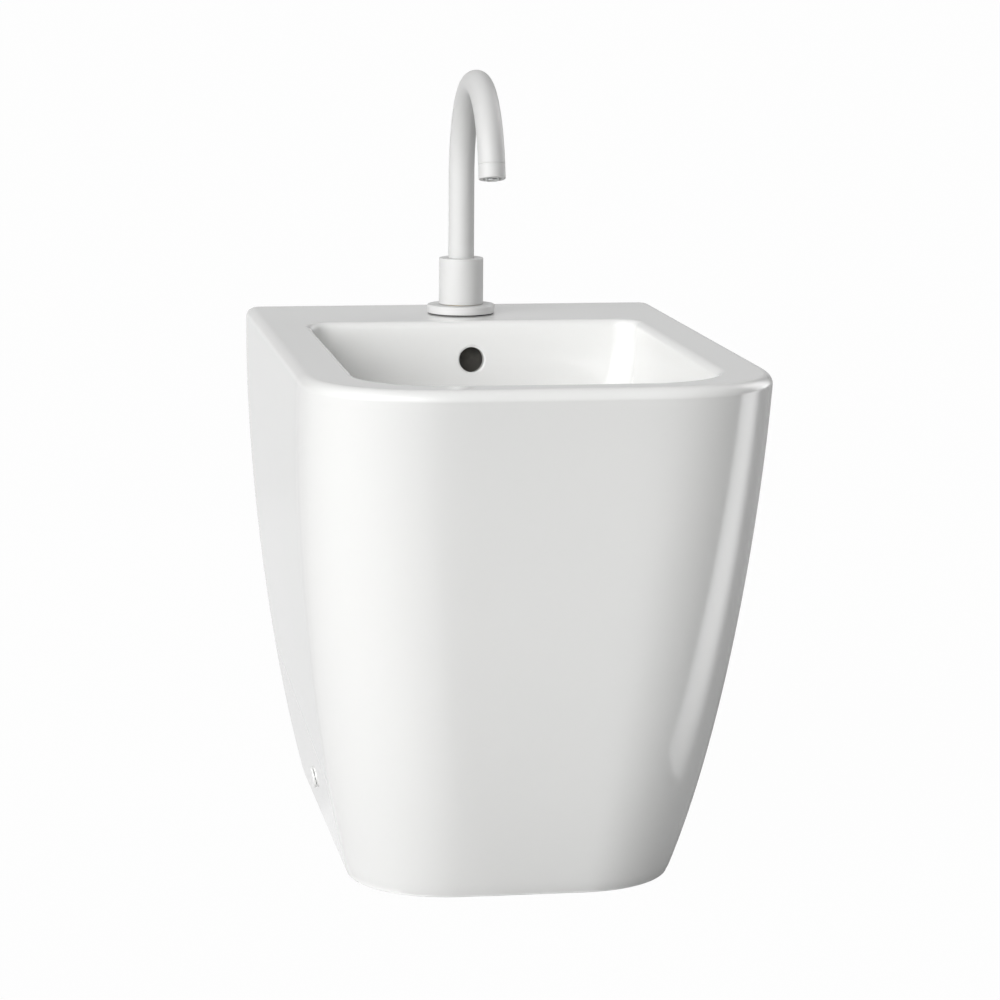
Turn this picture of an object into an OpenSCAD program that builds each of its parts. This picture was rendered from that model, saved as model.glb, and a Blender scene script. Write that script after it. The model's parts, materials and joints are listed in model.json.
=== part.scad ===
// Floor standing bidet, back to the wall: a hollow ceramic body in three cast sections,
// the pedestal, the rim with its tap ledge and the basin with its overflow duct, then a
// swan neck tap, a click waste, a bottle trap and concealed floor fixings. Millimetres,
// +Z up, front towards -Y, floor at z = 0.

/* [Ceramic body] */
// Width across the rim
rim_w = 360; // [330:1:400]
// Depth from the wall to the front of the rim
rim_d = 550; // [520:1:600]
// Height of the rim above the floor
rim_h = 420; // [400:1:450]
// Width across the foot at the floor
foot_w = 260; // [240:1:290]
// Depth from the wall to the front of the foot
foot_d = 410; // [390:1:440]
// Radius of the rim's front corners in plan
rim_corner_r = 114; // [100:1:130]
// Radius of the foot's front corners in plan
foot_corner_r = 82; // [60:1:100]
// Squareness of the rim's front corners, where 2 is a circle
rim_corner_power = 2.5; // [2:0.1:3]
// Squareness of the foot's front corners, where 2 is a circle
foot_corner_power = 2.05; // [2:0.05:3]
// Height of the lower handle of the flare's curve
flare_low_z = 115; // [90:1:150]
// Height of the upper handle of the flare's curve
flare_high_z = 285; // [240:1:310]
// Reach of the lower handle beyond the foot's side
side_low_out = 31; // [15:1:40]
// Reach of the upper handle beyond the rim's side
side_high_out = 1.5; // [0:0.5:3]
// Reach of the lower handle beyond the foot's front
front_low_out = 66; // [40:1:80]
// Set back of the upper handle behind the rim's front
front_high_in = 40; // [10:1:60]
// Rounding of the rim's outer edge
rim_edge_r = 8; // [3:1:12]
// Rounding of the upright rear corners
rear_corner_r = 5; // [2:1:10]
// Thickness of the ceramic's upright walls
wall_t = 11; // [9:0.5:13]
// Thickness of the rim and the tap ledge
deck_t = 12; // [10:0.5:15]

/* [Basin] */
// Width of the basin between its upright sides
basin_w = 276; // [250:1:290]
// Depth of the tap ledge, from the wall to the basin
ledge_d = 127; // [122:1:140]
// Width of the rim in front of the basin
front_rim_w = 32; // [26:1:45]
// Depth of the basin below the rim
basin_depth = 128; // [115:1:140]
// Radius of the basin's front corners
basin_front_r = 68; // [50:1:90]
// Radius of the basin's rear corners
basin_rear_r = 18; // [12:1:40]
// Rounding of the basin's upper edge
basin_edge_r = 6; // [3:1:9]
// Fullness of the basin's walls, where 2 is an ellipse
basin_fullness = 2.4; // [2:0.1:3]
// Thickness of the basin's shell
bowl_t = 9; // [7:0.5:12]
// Diameter of the overflow hole
overflow_hole_d = 21; // [16:0.5:24]
// Drop from the rim to the overflow hole's centre
overflow_drop = 32.5; // [26:0.5:45]
// Width of the overflow duct inside the ceramic
duct_w = 30; // [24:1:36]
// Clear depth of the overflow duct
duct_gap = 12; // [10:1:14]

/* [Rear opening] */
// Width of the opening at the back for pipes
service_w = 210; // [180:1:230]
// Height of the opening at the back
service_h = 330; // [300:1:350]
// Radius of the opening's upper corners
service_r = 40; // [20:1:60]

/* [Tap] */
// Distance from the wall to the tap's axis
tap_from_wall = 65; // [55:1:75]
// Diameter of the hole in the tap ledge
tap_hole_d = 35; // [33:1:36]
// Diameter of the tap's base flange
flange_d = 58; // [50:1:66]
// Height of the base flange
flange_h = 7; // [5:0.5:10]
// Thickness of the gasket under the flange
gasket_t = 1; // [0.5:0.5:2]
// Diameter of the control collar
collar_d = 38; // [37:0.5:44]
// Height of the control collar and its running gap
collar_h = 40; // [39:0.5:48]
// Diameter of the spout tube
tube_d = 22; // [21.6:0.1:22.6]
// Wall of the spout tube
tube_t = 1.5; // [1.2:0.1:1.8]
// Radius of the swan neck's centre line
neck_r = 83; // [65:1:95]
// Height of the neck's springing above the rim
neck_rise = 118; // [100:1:150]
// Turn of the neck before the nozzle, in degrees
neck_turn = 165; // [150:1:175]
// Visible length of the nozzle
nozzle_l = 12; // [12:0.5:15]
// Diameter of the threaded shank below the flange
shank_d = 28; // [28:0.5:31]
// Length of the shank below the rim's top
shank_l = 68; // [60:1:75]
// Diameter of the two threaded inlet holes
inlet_hole_d = 9; // [8:0.1:9.4]
// Depth of the inlet holes
inlet_hole_l = 12; // [10:0.5:16]
// Spacing of the two inlet holes
inlet_spacing = 13; // [12:0.1:14]

/* [Waste and trap] */
// Distance from the wall to the waste's axis
waste_from_wall = 265; // [250:1:280]
// Diameter of the waste's flange
waste_flange_d = 63; // [60:1:64]
// Diameter of the waste's threaded tail
waste_tail_d = 42; // [40:0.5:43]
// Bore of the waste's tail
waste_bore_d = 36; // [34:0.5:37]
// Length of the waste below its flange
waste_l = 77; // [70:1:85]
// Lift of the waste plug
plug_lift = 8; // [6:0.5:9]
// Diameter of the waste plug's cap
plug_cap_d = 52; // [46:1:56]
// Outer diameter of the trap's pipes
pipe_d = 32; // [31.5:0.1:32.4]
// Wall of the trap's pipes
pipe_t = 1.5; // [1.2:0.1:2]
// Drop from the waste's lower end to the outlet pipe's axis
outlet_drop = 68; // [62:1:76]
// Diameter of the trap's head
trap_d = 64; // [60:1:68]

/* [Floor fixings] */
// Distance from the wall to the side screws
fixing_from_wall = 190; // [170:1:210]
// Height of the side screws
fixing_h = 45; // [40:1:52]
// Step of the fixing pads inside the wall's inner face at the floor
pad_step = 2; // [1:0.5:4]
// Thickness of the steel brackets
bracket_t = 4; // [3:0.5:5]
// Width of each bracket along the wall
bracket_w = 70; // [60:1:80]
// Length of each bracket's foot
bracket_foot = 58; // [50:1:70]
// Height of each bracket
bracket_h = 68; // [62:1:80]
// Spacing of the two floor holes in each bracket
floor_hole_pitch = 44; // [36:1:50]
// Diameter of the floor holes
floor_hole_d = 8; // [7:0.5:9]
// Distance from the bracket's upright face to its floor holes
floor_hole_in = 32; // [26:1:36]
// Diameter of the side screws
side_screw_d = 6; // [5:0.5:8]
// Diameter of the side caps
cap_d = 18; // [17.6:0.1:20]

/* [Fits] */
// Radial running clearance of turning parts
run_gap = 0.05; // [0.03:0.01:0.09]
// Gap between parts that pass each other
free_gap = 0.3; // [0.2:0.05:0.5]
// Gap between parts that are pushed together by hand
push_gap = 0.1; // [0.05:0.01:0.2]

/* [Hidden] */
$fn = 96;
eps = 0.01;

// Colours as the photograph shows them, and plain ones for hidden parts
glaze_colour = [0.94, 0.94, 0.93];
tap_colour = [0.92, 0.92, 0.91];
brass_colour = [0.72, 0.58, 0.30];
steel_colour = [0.62, 0.63, 0.64];
chrome_colour = [0.80, 0.81, 0.82];
rubber_colour = [0.12, 0.12, 0.12];
plastic_colour = [0.86, 0.86, 0.85];
disc_colour = [0.80, 0.78, 0.74];

// Main planes and axes
wall_y = rim_d / 2;
front_y = wall_y - rim_d;
tap_y = wall_y - tap_from_wall;
waste_y = wall_y - waste_from_wall;
fixing_y = wall_y - fixing_from_wall;
basin_rear_y = wall_y - ledge_d;
basin_front_y = front_y + front_rim_w;
basin_floor_z = rim_h - basin_depth;

// Curves of the flare, as the handles of cubic curves from the floor to the rim
flare_z = [0, flare_low_z, flare_high_z, rim_h - rim_edge_r];
side_x = [foot_w / 2, foot_w / 2 + side_low_out, rim_w / 2 + side_high_out, rim_w / 2];
nose_y = [
    wall_y - foot_d,
    wall_y - foot_d - front_low_out,
    front_y + front_high_in,
    front_y
];

function mix(a, b, t) = a + (b - a) * t;

function curve(p, t) =
    p[0] * pow(1 - t, 3) + 3 * p[1] * t * pow(1 - t, 2)
    + 3 * p[2] * t * t * (1 - t) + p[3] * pow(t, 3);

// One rounded corner of a plan section, as a superellipse quarter
function corner(cx, cy, sx, sy, r, power, steps, back) = [
    for (i = [0:steps])
        let (a = 90 * (back ? steps - i : i) / steps)
        [cx + sx * r * pow(sin(a), 2 / power), cy + sy * r * pow(cos(a), 2 / power)]
];

// A plan section, straight across its back, at height z
function section(half_w, y_front, y_rear, r_front, r_rear, power, front_steps, rear_steps, z) = [
    for (p = concat(
        corner(half_w - r_front, y_front + r_front, 1, -1, r_front, power, front_steps, false),
        corner(half_w - r_rear, y_rear - r_rear, 1, 1, r_rear, 2, rear_steps, true),
        corner(r_rear - half_w, y_rear - r_rear, -1, 1, r_rear, 2, rear_steps, false),
        corner(r_front - half_w, y_front + r_front, -1, -1, r_front, power, front_steps, true)
    ))
        [p[0], p[1], z]
];

// A closed solid through a stack of sections
module loft(rings) {
    n = len(rings[0]);
    top = len(rings) - 1;
    sides = [
        for (j = [0:top - 1], i = [0:n - 1])
            let (k = (i + 1) % n)
            each [
                [j * n + i, (j + 1) * n + i, (j + 1) * n + k],
                [j * n + i, (j + 1) * n + k, j * n + k]
            ]
    ];
    base = [for (i = [0:n - 1]) i];
    lid = [for (i = [0:n - 1]) top * n + n - 1 - i];
    polyhedron(points = [for (r = rings) each r], faces = concat([base, lid], sides));
}

// Section of the outer form at curve parameter t, drawn in by d on the sides and front
function shell_ring(t, d, rear_y, rear_r, front_steps, rear_steps) =
    section(
        curve(side_x, t) - d,
        curve(nose_y, t) + d,
        rear_y,
        mix(foot_corner_r, rim_corner_r, 1 - pow(1 - t, 2)) - d,
        rear_r,
        mix(foot_corner_power, rim_corner_power, t),
        front_steps,
        rear_steps,
        curve(flare_z, t)
    );

// Section of the outer form within the rim's rounded edge, at angle a round it
function edge_ring(a, front_steps, rear_steps) =
    let (d = rim_edge_r * (1 - cos(a)))
    section(
        rim_w / 2 - d,
        front_y + d,
        wall_y,
        rim_corner_r - d,
        rear_corner_r,
        rim_corner_power,
        front_steps,
        rear_steps,
        rim_h - rim_edge_r * (1 - sin(a))
    );

outer_steps = 16;
flare_levels = 14;
edge_levels = 4;

module outer_form() {
    loft(concat(
        [
            for (i = [0:flare_levels])
                shell_ring(i / flare_levels, 0, wall_y, rear_corner_r, outer_steps, 3)
        ],
        [for (i = [1:edge_levels]) edge_ring(90 * i / edge_levels, outer_steps, 3)]
    ));
}

// The hollow inside the outer walls, below the rim, open at the floor
cavity_levels = 8;
cavity_top_z = rim_h - deck_t;

function lowered(ring, z) = [for (p = ring) [p[0], p[1], z]];

module cavity_form(top_z) {
    rear_y = wall_y - wall_t;
    first = shell_ring(0, wall_t, rear_y, rear_corner_r, 8, 2);
    last = shell_ring(1, wall_t, rear_y, rear_corner_r, 8, 2);
    loft(concat(
        [lowered(first, -1)],
        [
            for (i = [0:cavity_levels - 1])
                shell_ring(i / cavity_levels, wall_t, rear_y, rear_corner_r, 8, 2)
        ],
        [lowered(last, top_z)]
    ));
}

// Section of the basin: share is 1 at the rim and 0 at the drain, out swells it
drain_seat_r = waste_flange_d / 2 + 4.5;
basin_swell = 24;

function basin_ring(share, out, z, front_steps, rear_steps) =
    let (bulge = 4 * basin_swell * share * (1 - share))
    section(
        mix(drain_seat_r, basin_w / 2, share) + out,
        mix(waste_y - drain_seat_r, basin_front_y, share) - out,
        mix(waste_y + drain_seat_r, basin_rear_y, share) + out,
        mix(drain_seat_r, basin_front_r, share) + bulge + out - eps,
        mix(drain_seat_r, basin_rear_r, share) + bulge + out - eps,
        2,
        front_steps,
        rear_steps,
        z
    );

// Share and depth of the basin's wall at angle a, from the floor at 90 to the rim at 0
function wall_share(a) = pow(cos(a), 2 / basin_fullness);
function wall_depth(a) = pow(sin(a), 2 / basin_fullness);

basin_levels = 14;
basin_upright = basin_depth - basin_edge_r;

module basin_form() {
    loft(concat(
        [
            for (i = [0:basin_levels])
                let (a = 90 * (1 - i / basin_levels))
                basin_ring(
                    wall_share(a), 0, basin_floor_z + basin_upright * (1 - wall_depth(a)), 14, 8
                )
        ],
        [
            for (i = [1:edge_levels])
                let (a = 90 * i / edge_levels)
                basin_ring(
                    1, basin_edge_r * (1 - cos(a)), rim_h - basin_edge_r * (1 - sin(a)), 14, 8
                )
        ],
        [basin_ring(1, basin_edge_r, rim_h + 1, 14, 8)]
    ));
}

// The outside of the basin's shell, inside the cavity
bowl_levels = 8;

module bowl_form() {
    loft(concat(
        [basin_ring(0, bowl_t, basin_floor_z - bowl_t, 8, 5)],
        [
            for (i = [1:bowl_levels])
                let (a = 90 * (1 - i / bowl_levels))
                basin_ring(
                    wall_share(a), bowl_t,
                    basin_floor_z - bowl_t + (basin_upright + bowl_t) * (1 - wall_depth(a)), 8, 5
                )
        ],
        [basin_ring(1, bowl_t, rim_h, 8, 5)]
    ));
}

// The overflow duct runs down behind the basin and forward to the drain's collar
collar_r = 38;
collar_drop = 42;
drain_hole_r = waste_tail_d / 2 + 2;
collar_bottom_z = basin_floor_z - collar_drop;
duct_top_z = rim_h - overflow_drop + overflow_hole_d / 2 + 2;
duct_front_y = basin_rear_y + bowl_t;
duct_rear_y = duct_front_y + duct_gap;
duct_low_z = collar_bottom_z + bowl_t;
duct_bend_z = basin_floor_z + 10;
duct_bend_y = duct_rear_y - 45;

module duct_path() {
    polygon([
        [duct_front_y, duct_top_z],
        [duct_rear_y, duct_top_z],
        [duct_rear_y, duct_bend_z],
        [duct_bend_y, duct_low_z],
        [waste_y, duct_low_z],
        [waste_y, duct_low_z + duct_gap],
        [duct_bend_y - 4, duct_low_z + duct_gap],
        [duct_front_y, duct_bend_z + 6]
    ]);
}

module duct_rib() {
    polygon([
        [basin_rear_y - 8, rim_h - 1],
        [duct_rear_y + bowl_t, rim_h - 1],
        [duct_rear_y + bowl_t, duct_bend_z - 5],
        [duct_bend_y + 4, duct_low_z - bowl_t],
        [waste_y, duct_low_z - bowl_t],
        [waste_y, basin_floor_z - 1],
        [duct_bend_y - 60, basin_floor_z - 1],
        [duct_bend_y, duct_bend_z + 10],
        [basin_rear_y - 8, duct_bend_z + 60]
    ]);
}

// Extrudes a side view, drawn as y and z, to a width across x
module across(width) {
    rotate([90, 0, 90])
        translate([0, 0, -width / 2])
            linear_extrude(width)
                children();
}

module service_opening() {
    top_z = service_h - service_r;
    union() {
        translate([-service_w / 2, -1])
            square([service_w, top_z + 1]);
        translate([-service_w / 2 + service_r, 0])
            square([service_w - 2 * service_r, service_h]);
        for (side = [-1, 1])
            translate([side * (service_w / 2 - service_r), top_z])
                circle(service_r);
    }
}

// Upright pads inside the foot, which the side screws clamp to the brackets
pad_h = bracket_h - 4;
pad_out = rim_w / 2;
pad_x = foot_w / 2 - wall_t - pad_step;
pad_seat = 9;
screw_head_x = pad_x + pad_seat;
screw_hole_r = side_screw_d / 2 + 1;
cap_bore_r = cap_d / 2 - 1.5;

module fixing_pads() {
    for (side = [-1, 1])
        translate([side > 0 ? pad_x : -pad_out, fixing_y - bracket_w / 2, -2])
            cube([pad_out - pad_x, bracket_w, pad_h + 2]);
}

module fixing_holes() {
    for (side = [0, 180])
        rotate(side)
            translate([0, side > 0 ? -fixing_y : fixing_y, fixing_h])
                rotate([0, 90, 0]) {
                    translate([0, 0, pad_x - 1])
                        cylinder(r = screw_hole_r, h = pad_out - pad_x);
                    translate([0, 0, screw_head_x])
                        cylinder(r = cap_bore_r, h = pad_out - screw_head_x);
                }
}

seat_drop = 4;

// Everything below the rim's underside
module below_rim() {
    translate([-rim_w, front_y - 1, -1])
        cube([2 * rim_w, rim_d + 2, cavity_top_z + 1]);
}

module ceramic_pedestal() {
    color(glaze_colour)
        difference() {
            intersection() {
                outer_form();
                below_rim();
            }
            difference() {
                cavity_form(cavity_top_z + 1);
                fixing_pads();
            }
            translate([0, wall_y + 1, 0])
                rotate([90, 0, 0])
                    linear_extrude(wall_t + 2)
                        service_opening();
            fixing_holes();
        }
}

module ceramic_rim() {
    color(glaze_colour)
        difference() {
            outer_form();
            below_rim();
            basin_form();
            translate([0, tap_y, cavity_top_z - 1])
                cylinder(d = tap_hole_d, h = deck_t + 2);
        }
}

module ceramic_basin() {
    color(glaze_colour)
        difference() {
            intersection() {
                union() {
                    bowl_form();
                    across(duct_w + 2 * bowl_t)
                        duct_rib();
                    translate([0, waste_y, collar_bottom_z])
                        cylinder(r = collar_r, h = collar_drop);
                }
                below_rim();
            }
            basin_form();
            across(duct_w)
                duct_path();
            translate([0, basin_rear_y - 20, rim_h - overflow_drop])
                rotate([-90, 0, 0])
                    cylinder(d = overflow_hole_d, h = 20 + bowl_t + duct_gap / 2);
            translate([0, waste_y, collar_bottom_z - 1])
                cylinder(r = drain_hole_r, h = collar_drop + 2);
            translate([0, waste_y, basin_floor_z - seat_drop])
                cylinder(d = waste_flange_d + 1, h = seat_drop + 1);
        }
}

// ---- Tap: heights, from the ledge up ----
flange_top_z = rim_h + gasket_t + flange_h;
shoulder_r = collar_d / 2 - 2;
shoulder_h = 4;
column_r = collar_d / 2 - 4;
column_bore_r = 12;
chamber_z = flange_top_z + 6;
collar_top_z = flange_top_z + collar_h;
lip_h = 4;
column_top_z = collar_top_z - lip_h - 0.6;
tube_r = tube_d / 2;
tube_bore_r = tube_r - tube_t;

seal_t = 1.2;
fixed_disc_t = 3.4;
moving_disc_t = 2.8;
disc_r = column_bore_r - 0.2;
moving_r = column_bore_r - free_gap;
fixed_disc_z = chamber_z + seal_t;
moving_disc_z = fixed_disc_z + fixed_disc_t;
carrier_z = moving_disc_z + moving_disc_t;
carrier_t = 3.8;
arm_w = 3;
arm_h = 3;
arm_gap = 0.2;
arm_z = carrier_z + 0.6;
arm_reach = shoulder_r + free_gap;
control_turn = 100;
slot_spare = 9;
stem_z = carrier_z + carrier_t + 0.4;
tube_z = column_top_z - 2.4;
stem_r = column_bore_r - run_gap;
ring_wire_r = 0.85;
ring_groove_r = stem_r - 2 * ring_wire_r - 0.15;
ring_groove_h = 2.2;
ring_z = [stem_z + 4.5, stem_z + 9.5];
clip_z = tube_z + 0.3;
clip_t = 1;
clip_bite = 0.8;
grub_z = stem_z + 8;
grub_r = 2;
grub_groove_r = column_r - 1.1;
port_x = inlet_spacing / 2;
key_r = 1.1;
key_spare = 0.8;
port_r = 2.5;
port_h = 3;
passage_r = inlet_hole_d / 2 - 0.5;

module at_tap() {
    translate([0, tap_y, 0])
        children();
}

// A ring with a square section
module washer(r_in, r_out, z, h) {
    translate([0, 0, z])
        difference() {
            cylinder(r = r_out, h = h);
            translate([0, 0, -1])
                cylinder(r = r_in, h = h + 2);
        }
}

// A six sided nut, z is its underside
module hex_nut(across_flats, r_in, z, h) {
    translate([0, 0, z])
        difference() {
            cylinder(r = across_flats / sqrt(3), h = h, $fn = 6);
            translate([0, 0, -1])
                cylinder(r = r_in, h = h + 2);
        }
}

gasket_inset = 1;

module base_gasket() {
    color(rubber_colour)
        at_tap()
            washer(shank_d / 2 + gasket_inset, flange_d / 2 - gasket_inset, rim_h, gasket_t);
}

flange_round = 1.2;

module tap_flange() {
    r_in = shank_d / 2 + push_gap;
    r_out = flange_d / 2;
    z = rim_h + gasket_t;
    color(tap_colour)
        at_tap()
            rotate_extrude() {
                translate([r_in, z])
                    square([r_out - r_in, flange_h - flange_round]);
                translate([r_in, z])
                    square([r_out - r_in - flange_round, flange_h]);
                translate([r_out - flange_round, z + flange_h - flange_round])
                    circle(flange_round);
            }
}

module tap_column() {
    color(brass_colour)
        at_tap()
            difference() {
                union() {
                    translate([0, 0, rim_h - shank_l])
                        cylinder(d = shank_d, h = shank_l + gasket_t + flange_h);
                    translate([0, 0, flange_top_z])
                        cylinder(r = shoulder_r, h = shoulder_h);
                    translate([0, 0, flange_top_z])
                        cylinder(r = column_r, h = column_top_z - flange_top_z);
                }
                difference() {
                    translate([0, 0, chamber_z])
                        cylinder(r = column_bore_r, h = column_top_z);
                    for (side = [-1, 1])
                        translate([0, side * column_bore_r, chamber_z - 1])
                            cylinder(r = key_r, h = seal_t + fixed_disc_t + key_spare, $fn = 32);
                }
                for (side = [-1, 1]) {
                    translate([side * port_x, 0, rim_h - shank_l - 1])
                        cylinder(d = inlet_hole_d, h = inlet_hole_l + 1);
                    translate([side * port_x, 0, rim_h - shank_l])
                        cylinder(r = passage_r, h = shank_l + chamber_z - rim_h - port_h);
                    translate([side * port_x, 0, rim_h - shank_l])
                        cylinder(r = port_r, h = shank_l + chamber_z - rim_h + 1, $fn = 32);
                }
                for (start = [0, 180])
                    rotate(start - slot_spare)
                        rotate_extrude(angle = control_turn + 2 * slot_spare)
                            translate([column_bore_r - 1, arm_z - arm_gap])
                                square([column_r - column_bore_r + 2, arm_h + 2 * arm_gap]);
                washer(
                    grub_groove_r, column_r + 1,
                    grub_z - grub_r - push_gap, 2 * (grub_r + push_gap)
                );
                washer(
                    1, column_bore_r + clip_bite + push_gap,
                    clip_z - push_gap, clip_t + 2 * push_gap
                );
            }
}

shank_gasket_t = 2;
plate_t = 2;
plate_lap = 6;
ledge_under_z = rim_h - deck_t;

module shank_gasket() {
    color(rubber_colour)
        at_tap()
            washer(
                shank_d / 2 + free_gap, tap_hole_d / 2 + plate_lap,
                ledge_under_z - shank_gasket_t, shank_gasket_t
            );
}

module shank_plate() {
    color(steel_colour)
        at_tap()
            washer(
                shank_d / 2 + 2 * push_gap, tap_hole_d / 2 + plate_lap,
                ledge_under_z - shank_gasket_t - plate_t, plate_t
            );
}

module shank_nut() {
    nut_h = 10;
    color(brass_colour)
        at_tap()
            hex_nut(
                shank_d + 10, shank_d / 2 + run_gap,
                ledge_under_z - shank_gasket_t - plate_t - nut_h, nut_h
            );
}

// A disc with a port over each inlet and a notch at each key of the column
module ported_disc(r, z, h, hole_r) {
    difference() {
        translate([0, 0, z])
            cylinder(r = r, h = h);
        for (side = [-1, 1]) {
            translate([side * port_x, 0, z - 1])
                cylinder(r = hole_r, h = h + 2, $fn = 32);
            translate([0, side * column_bore_r, z - 1])
                cylinder(r = key_r + push_gap, h = h + 2, $fn = 32);
        }
    }
}

module disc_seal() {
    color(rubber_colour)
        at_tap()
            ported_disc(disc_r, chamber_z, seal_t, port_r + 0.7);
}

module fixed_disc() {
    color(disc_colour)
        at_tap()
            ported_disc(disc_r, fixed_disc_z, fixed_disc_t, port_r + 0.3);
}

lug_r = 1.3;
lug_l = 1.2;
lug_at = [5.5, -7];

module moving_disc() {
    color(disc_colour)
        at_tap()
            difference() {
                translate([0, 0, moving_disc_z])
                    cylinder(r = moving_r, h = moving_disc_t);
                rotate(40)
                    rotate_extrude(angle = 100)
                        translate([4, moving_disc_z - 1])
                            square([5, moving_disc_t + 2]);
                for (side = [-1, 1])
                    translate([side * lug_at[0], lug_at[1], carrier_z - lug_l - 0.2])
                        cylinder(r = lug_r + push_gap, h = lug_l + 1, $fn = 32);
            }
}

module disc_carrier() {
    color(plastic_colour)
        at_tap() {
            washer(6, moving_r, carrier_z, carrier_t);
            for (side = [-1, 1]) {
                translate([side > 0 ? 8 : -arm_reach, -arm_w / 2, arm_z])
                    cube([arm_reach - 8, arm_w, arm_h]);
                translate([side * lug_at[0], lug_at[1], carrier_z - lug_l])
                    cylinder(r = lug_r, h = lug_l + 1, $fn = 32);
            }
        }
}

collar_lift = 0.4;
collar_low_z = flange_top_z + collar_lift;
keyway_r = arm_reach + free_gap;
collar_round = 0.8;

module control_collar() {
    outer_r = collar_d / 2;
    color(tap_colour)
        at_tap()
            difference() {
                rotate_extrude() {
                    translate([0, collar_low_z])
                        square([outer_r, collar_top_z - collar_low_z - collar_round]);
                    translate([0, collar_low_z])
                        square([outer_r - collar_round, collar_top_z - collar_low_z]);
                    translate([outer_r - collar_round, collar_top_z - collar_round])
                        circle(collar_round, $fn = 32);
                }
                translate([0, 0, collar_low_z - 1])
                    cylinder(r = shoulder_r + run_gap, h = shoulder_h + 1 - collar_lift);
                translate([0, 0, collar_low_z])
                    cylinder(r = column_r + run_gap, h = collar_top_z - lip_h - collar_low_z);
                translate([0, 0, collar_low_z])
                    cylinder(r = tube_r + free_gap, h = collar_h);
                for (side = [-1, 1])
                    translate([side > 0 ? 0 : -keyway_r, -arm_w / 2 - 0.05, collar_low_z - 1])
                        cube([keyway_r, arm_w + 0.1, arm_z + arm_h + 1.3 - collar_low_z]);
                translate([0, 0, grub_z])
                    rotate([-90, 0, 0])
                        cylinder(r = grub_r + 0.02, h = outer_r + 1, $fn = 32);
            }
}

module collar_grub_screw() {
    inner = grub_groove_r + free_gap;
    length = collar_d / 2 - 0.5 - inner;
    color(steel_colour)
        at_tap()
            translate([0, inner, grub_z])
                rotate([-90, 0, 0])
                    difference() {
                        cylinder(r = grub_r, h = length, $fn = 32);
                        translate([0, 0, length - 1.5])
                            cylinder(r = 1.1, h = 2, $fn = 6);
                    }
}

spigot_l = 15;

module spout_stem() {
    color(brass_colour)
        at_tap()
            difference() {
                union() {
                    translate([0, 0, stem_z])
                        cylinder(r = stem_r, h = tube_z - stem_z);
                    translate([0, 0, tube_z - 1])
                        cylinder(r = tube_bore_r - 0.03, h = spigot_l + 1);
                }
                translate([0, 0, stem_z - 1])
                    cylinder(r = 7, h = spigot_l + tube_z - stem_z + 2);
                for (z = ring_z)
                    washer(ring_groove_r, stem_r + 1, z - ring_groove_h / 2, ring_groove_h);
            }
}

module spout_o_rings() {
    color(rubber_colour)
        at_tap()
            for (z = ring_z)
                rotate_extrude()
                    translate([ring_groove_r + 0.05 + ring_wire_r, z])
                        circle(ring_wire_r, $fn = 24);
}

module spout_clip() {
    color(steel_colour)
        at_tap()
            difference() {
                washer(tube_r + free_gap, column_bore_r + clip_bite, clip_z, clip_t);
                translate([-2, 0, clip_z - 1])
                    cube([4, 20, clip_t + 2]);
            }
}

// ---- Spout: riser and neck, with the nozzle at the neck's end ----
spring_z = rim_h + neck_rise;

// Moves children to the neck's end, with their +Z back up the tube
module at_nozzle() {
    translate([0, tap_y - neck_r, spring_z])
        rotate([neck_turn - 180, 0, 0])
            translate([0, -neck_r, -nozzle_l])
                children();
}

module neck(r) {
    translate([0, 0, tube_z])
        cylinder(r = r, h = spring_z - tube_z);
    translate([0, -neck_r, spring_z])
        rotate([90, 0, 90])
            rotate_extrude(angle = neck_turn)
                translate([neck_r, 0])
                    circle(r);
}

module spout_tube() {
    color(tap_colour)
        at_tap()
            difference() {
                neck(tube_r);
                neck(tube_bore_r);
                translate([0, 0, tube_z - 1])
                    cylinder(r = tube_bore_r, h = 2);
            }
}

nozzle_round = 0.6;
ball_r = 7.2;
seat_t = 1.3;
ball_z = 5;
seat_r = ball_r + run_gap + seat_t;
socket_r = seat_r + run_gap;
mouth_r = 7.6;
snout_r = 5.6;
snout_out = 1.2;
ball_bore_r = 4.6;
adapter_low_z = 9;
adapter_l = 6;
adapter_bore_r = 5.6;

module nozzle_adapter() {
    color(brass_colour)
        at_nozzle()
            difference() {
                union() {
                    translate([0, 0, adapter_low_z])
                        cylinder(r = socket_r - run_gap, h = nozzle_l - adapter_low_z);
                    translate([0, 0, nozzle_l])
                        cylinder(r = tube_bore_r - 0.4, h = adapter_l);
                }
                translate([0, 0, adapter_low_z - 1])
                    cylinder(r = adapter_bore_r, h = nozzle_l + adapter_l);
                translate([0, 0, ball_z])
                    sphere(r = socket_r);
            }
}

module nozzle_housing() {
    color(tap_colour)
        at_nozzle()
            difference() {
                rotate_extrude() {
                    translate([0, nozzle_round])
                        square([tube_r, nozzle_l - nozzle_round]);
                    square([tube_r - nozzle_round, nozzle_l]);
                    translate([tube_r - nozzle_round, nozzle_round])
                        circle(nozzle_round, $fn = 32);
                }
                translate([0, 0, -1])
                    cylinder(r = mouth_r, h = 3);
                translate([0, 0, ball_z])
                    sphere(r = socket_r);
                translate([0, 0, ball_z])
                    cylinder(r = socket_r, h = nozzle_l);
            }
}

module nozzle_seat() {
    seat_low = 3.2;
    seat_high = 3.4;
    color(plastic_colour)
        at_nozzle()
            translate([0, 0, ball_z])
                difference() {
                    intersection() {
                        sphere(r = seat_r);
                        translate([0, 0, -seat_low])
                            cylinder(r = seat_r + 1, h = seat_low + seat_high);
                    }
                    sphere(r = ball_r + run_gap);
                }
}

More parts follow.
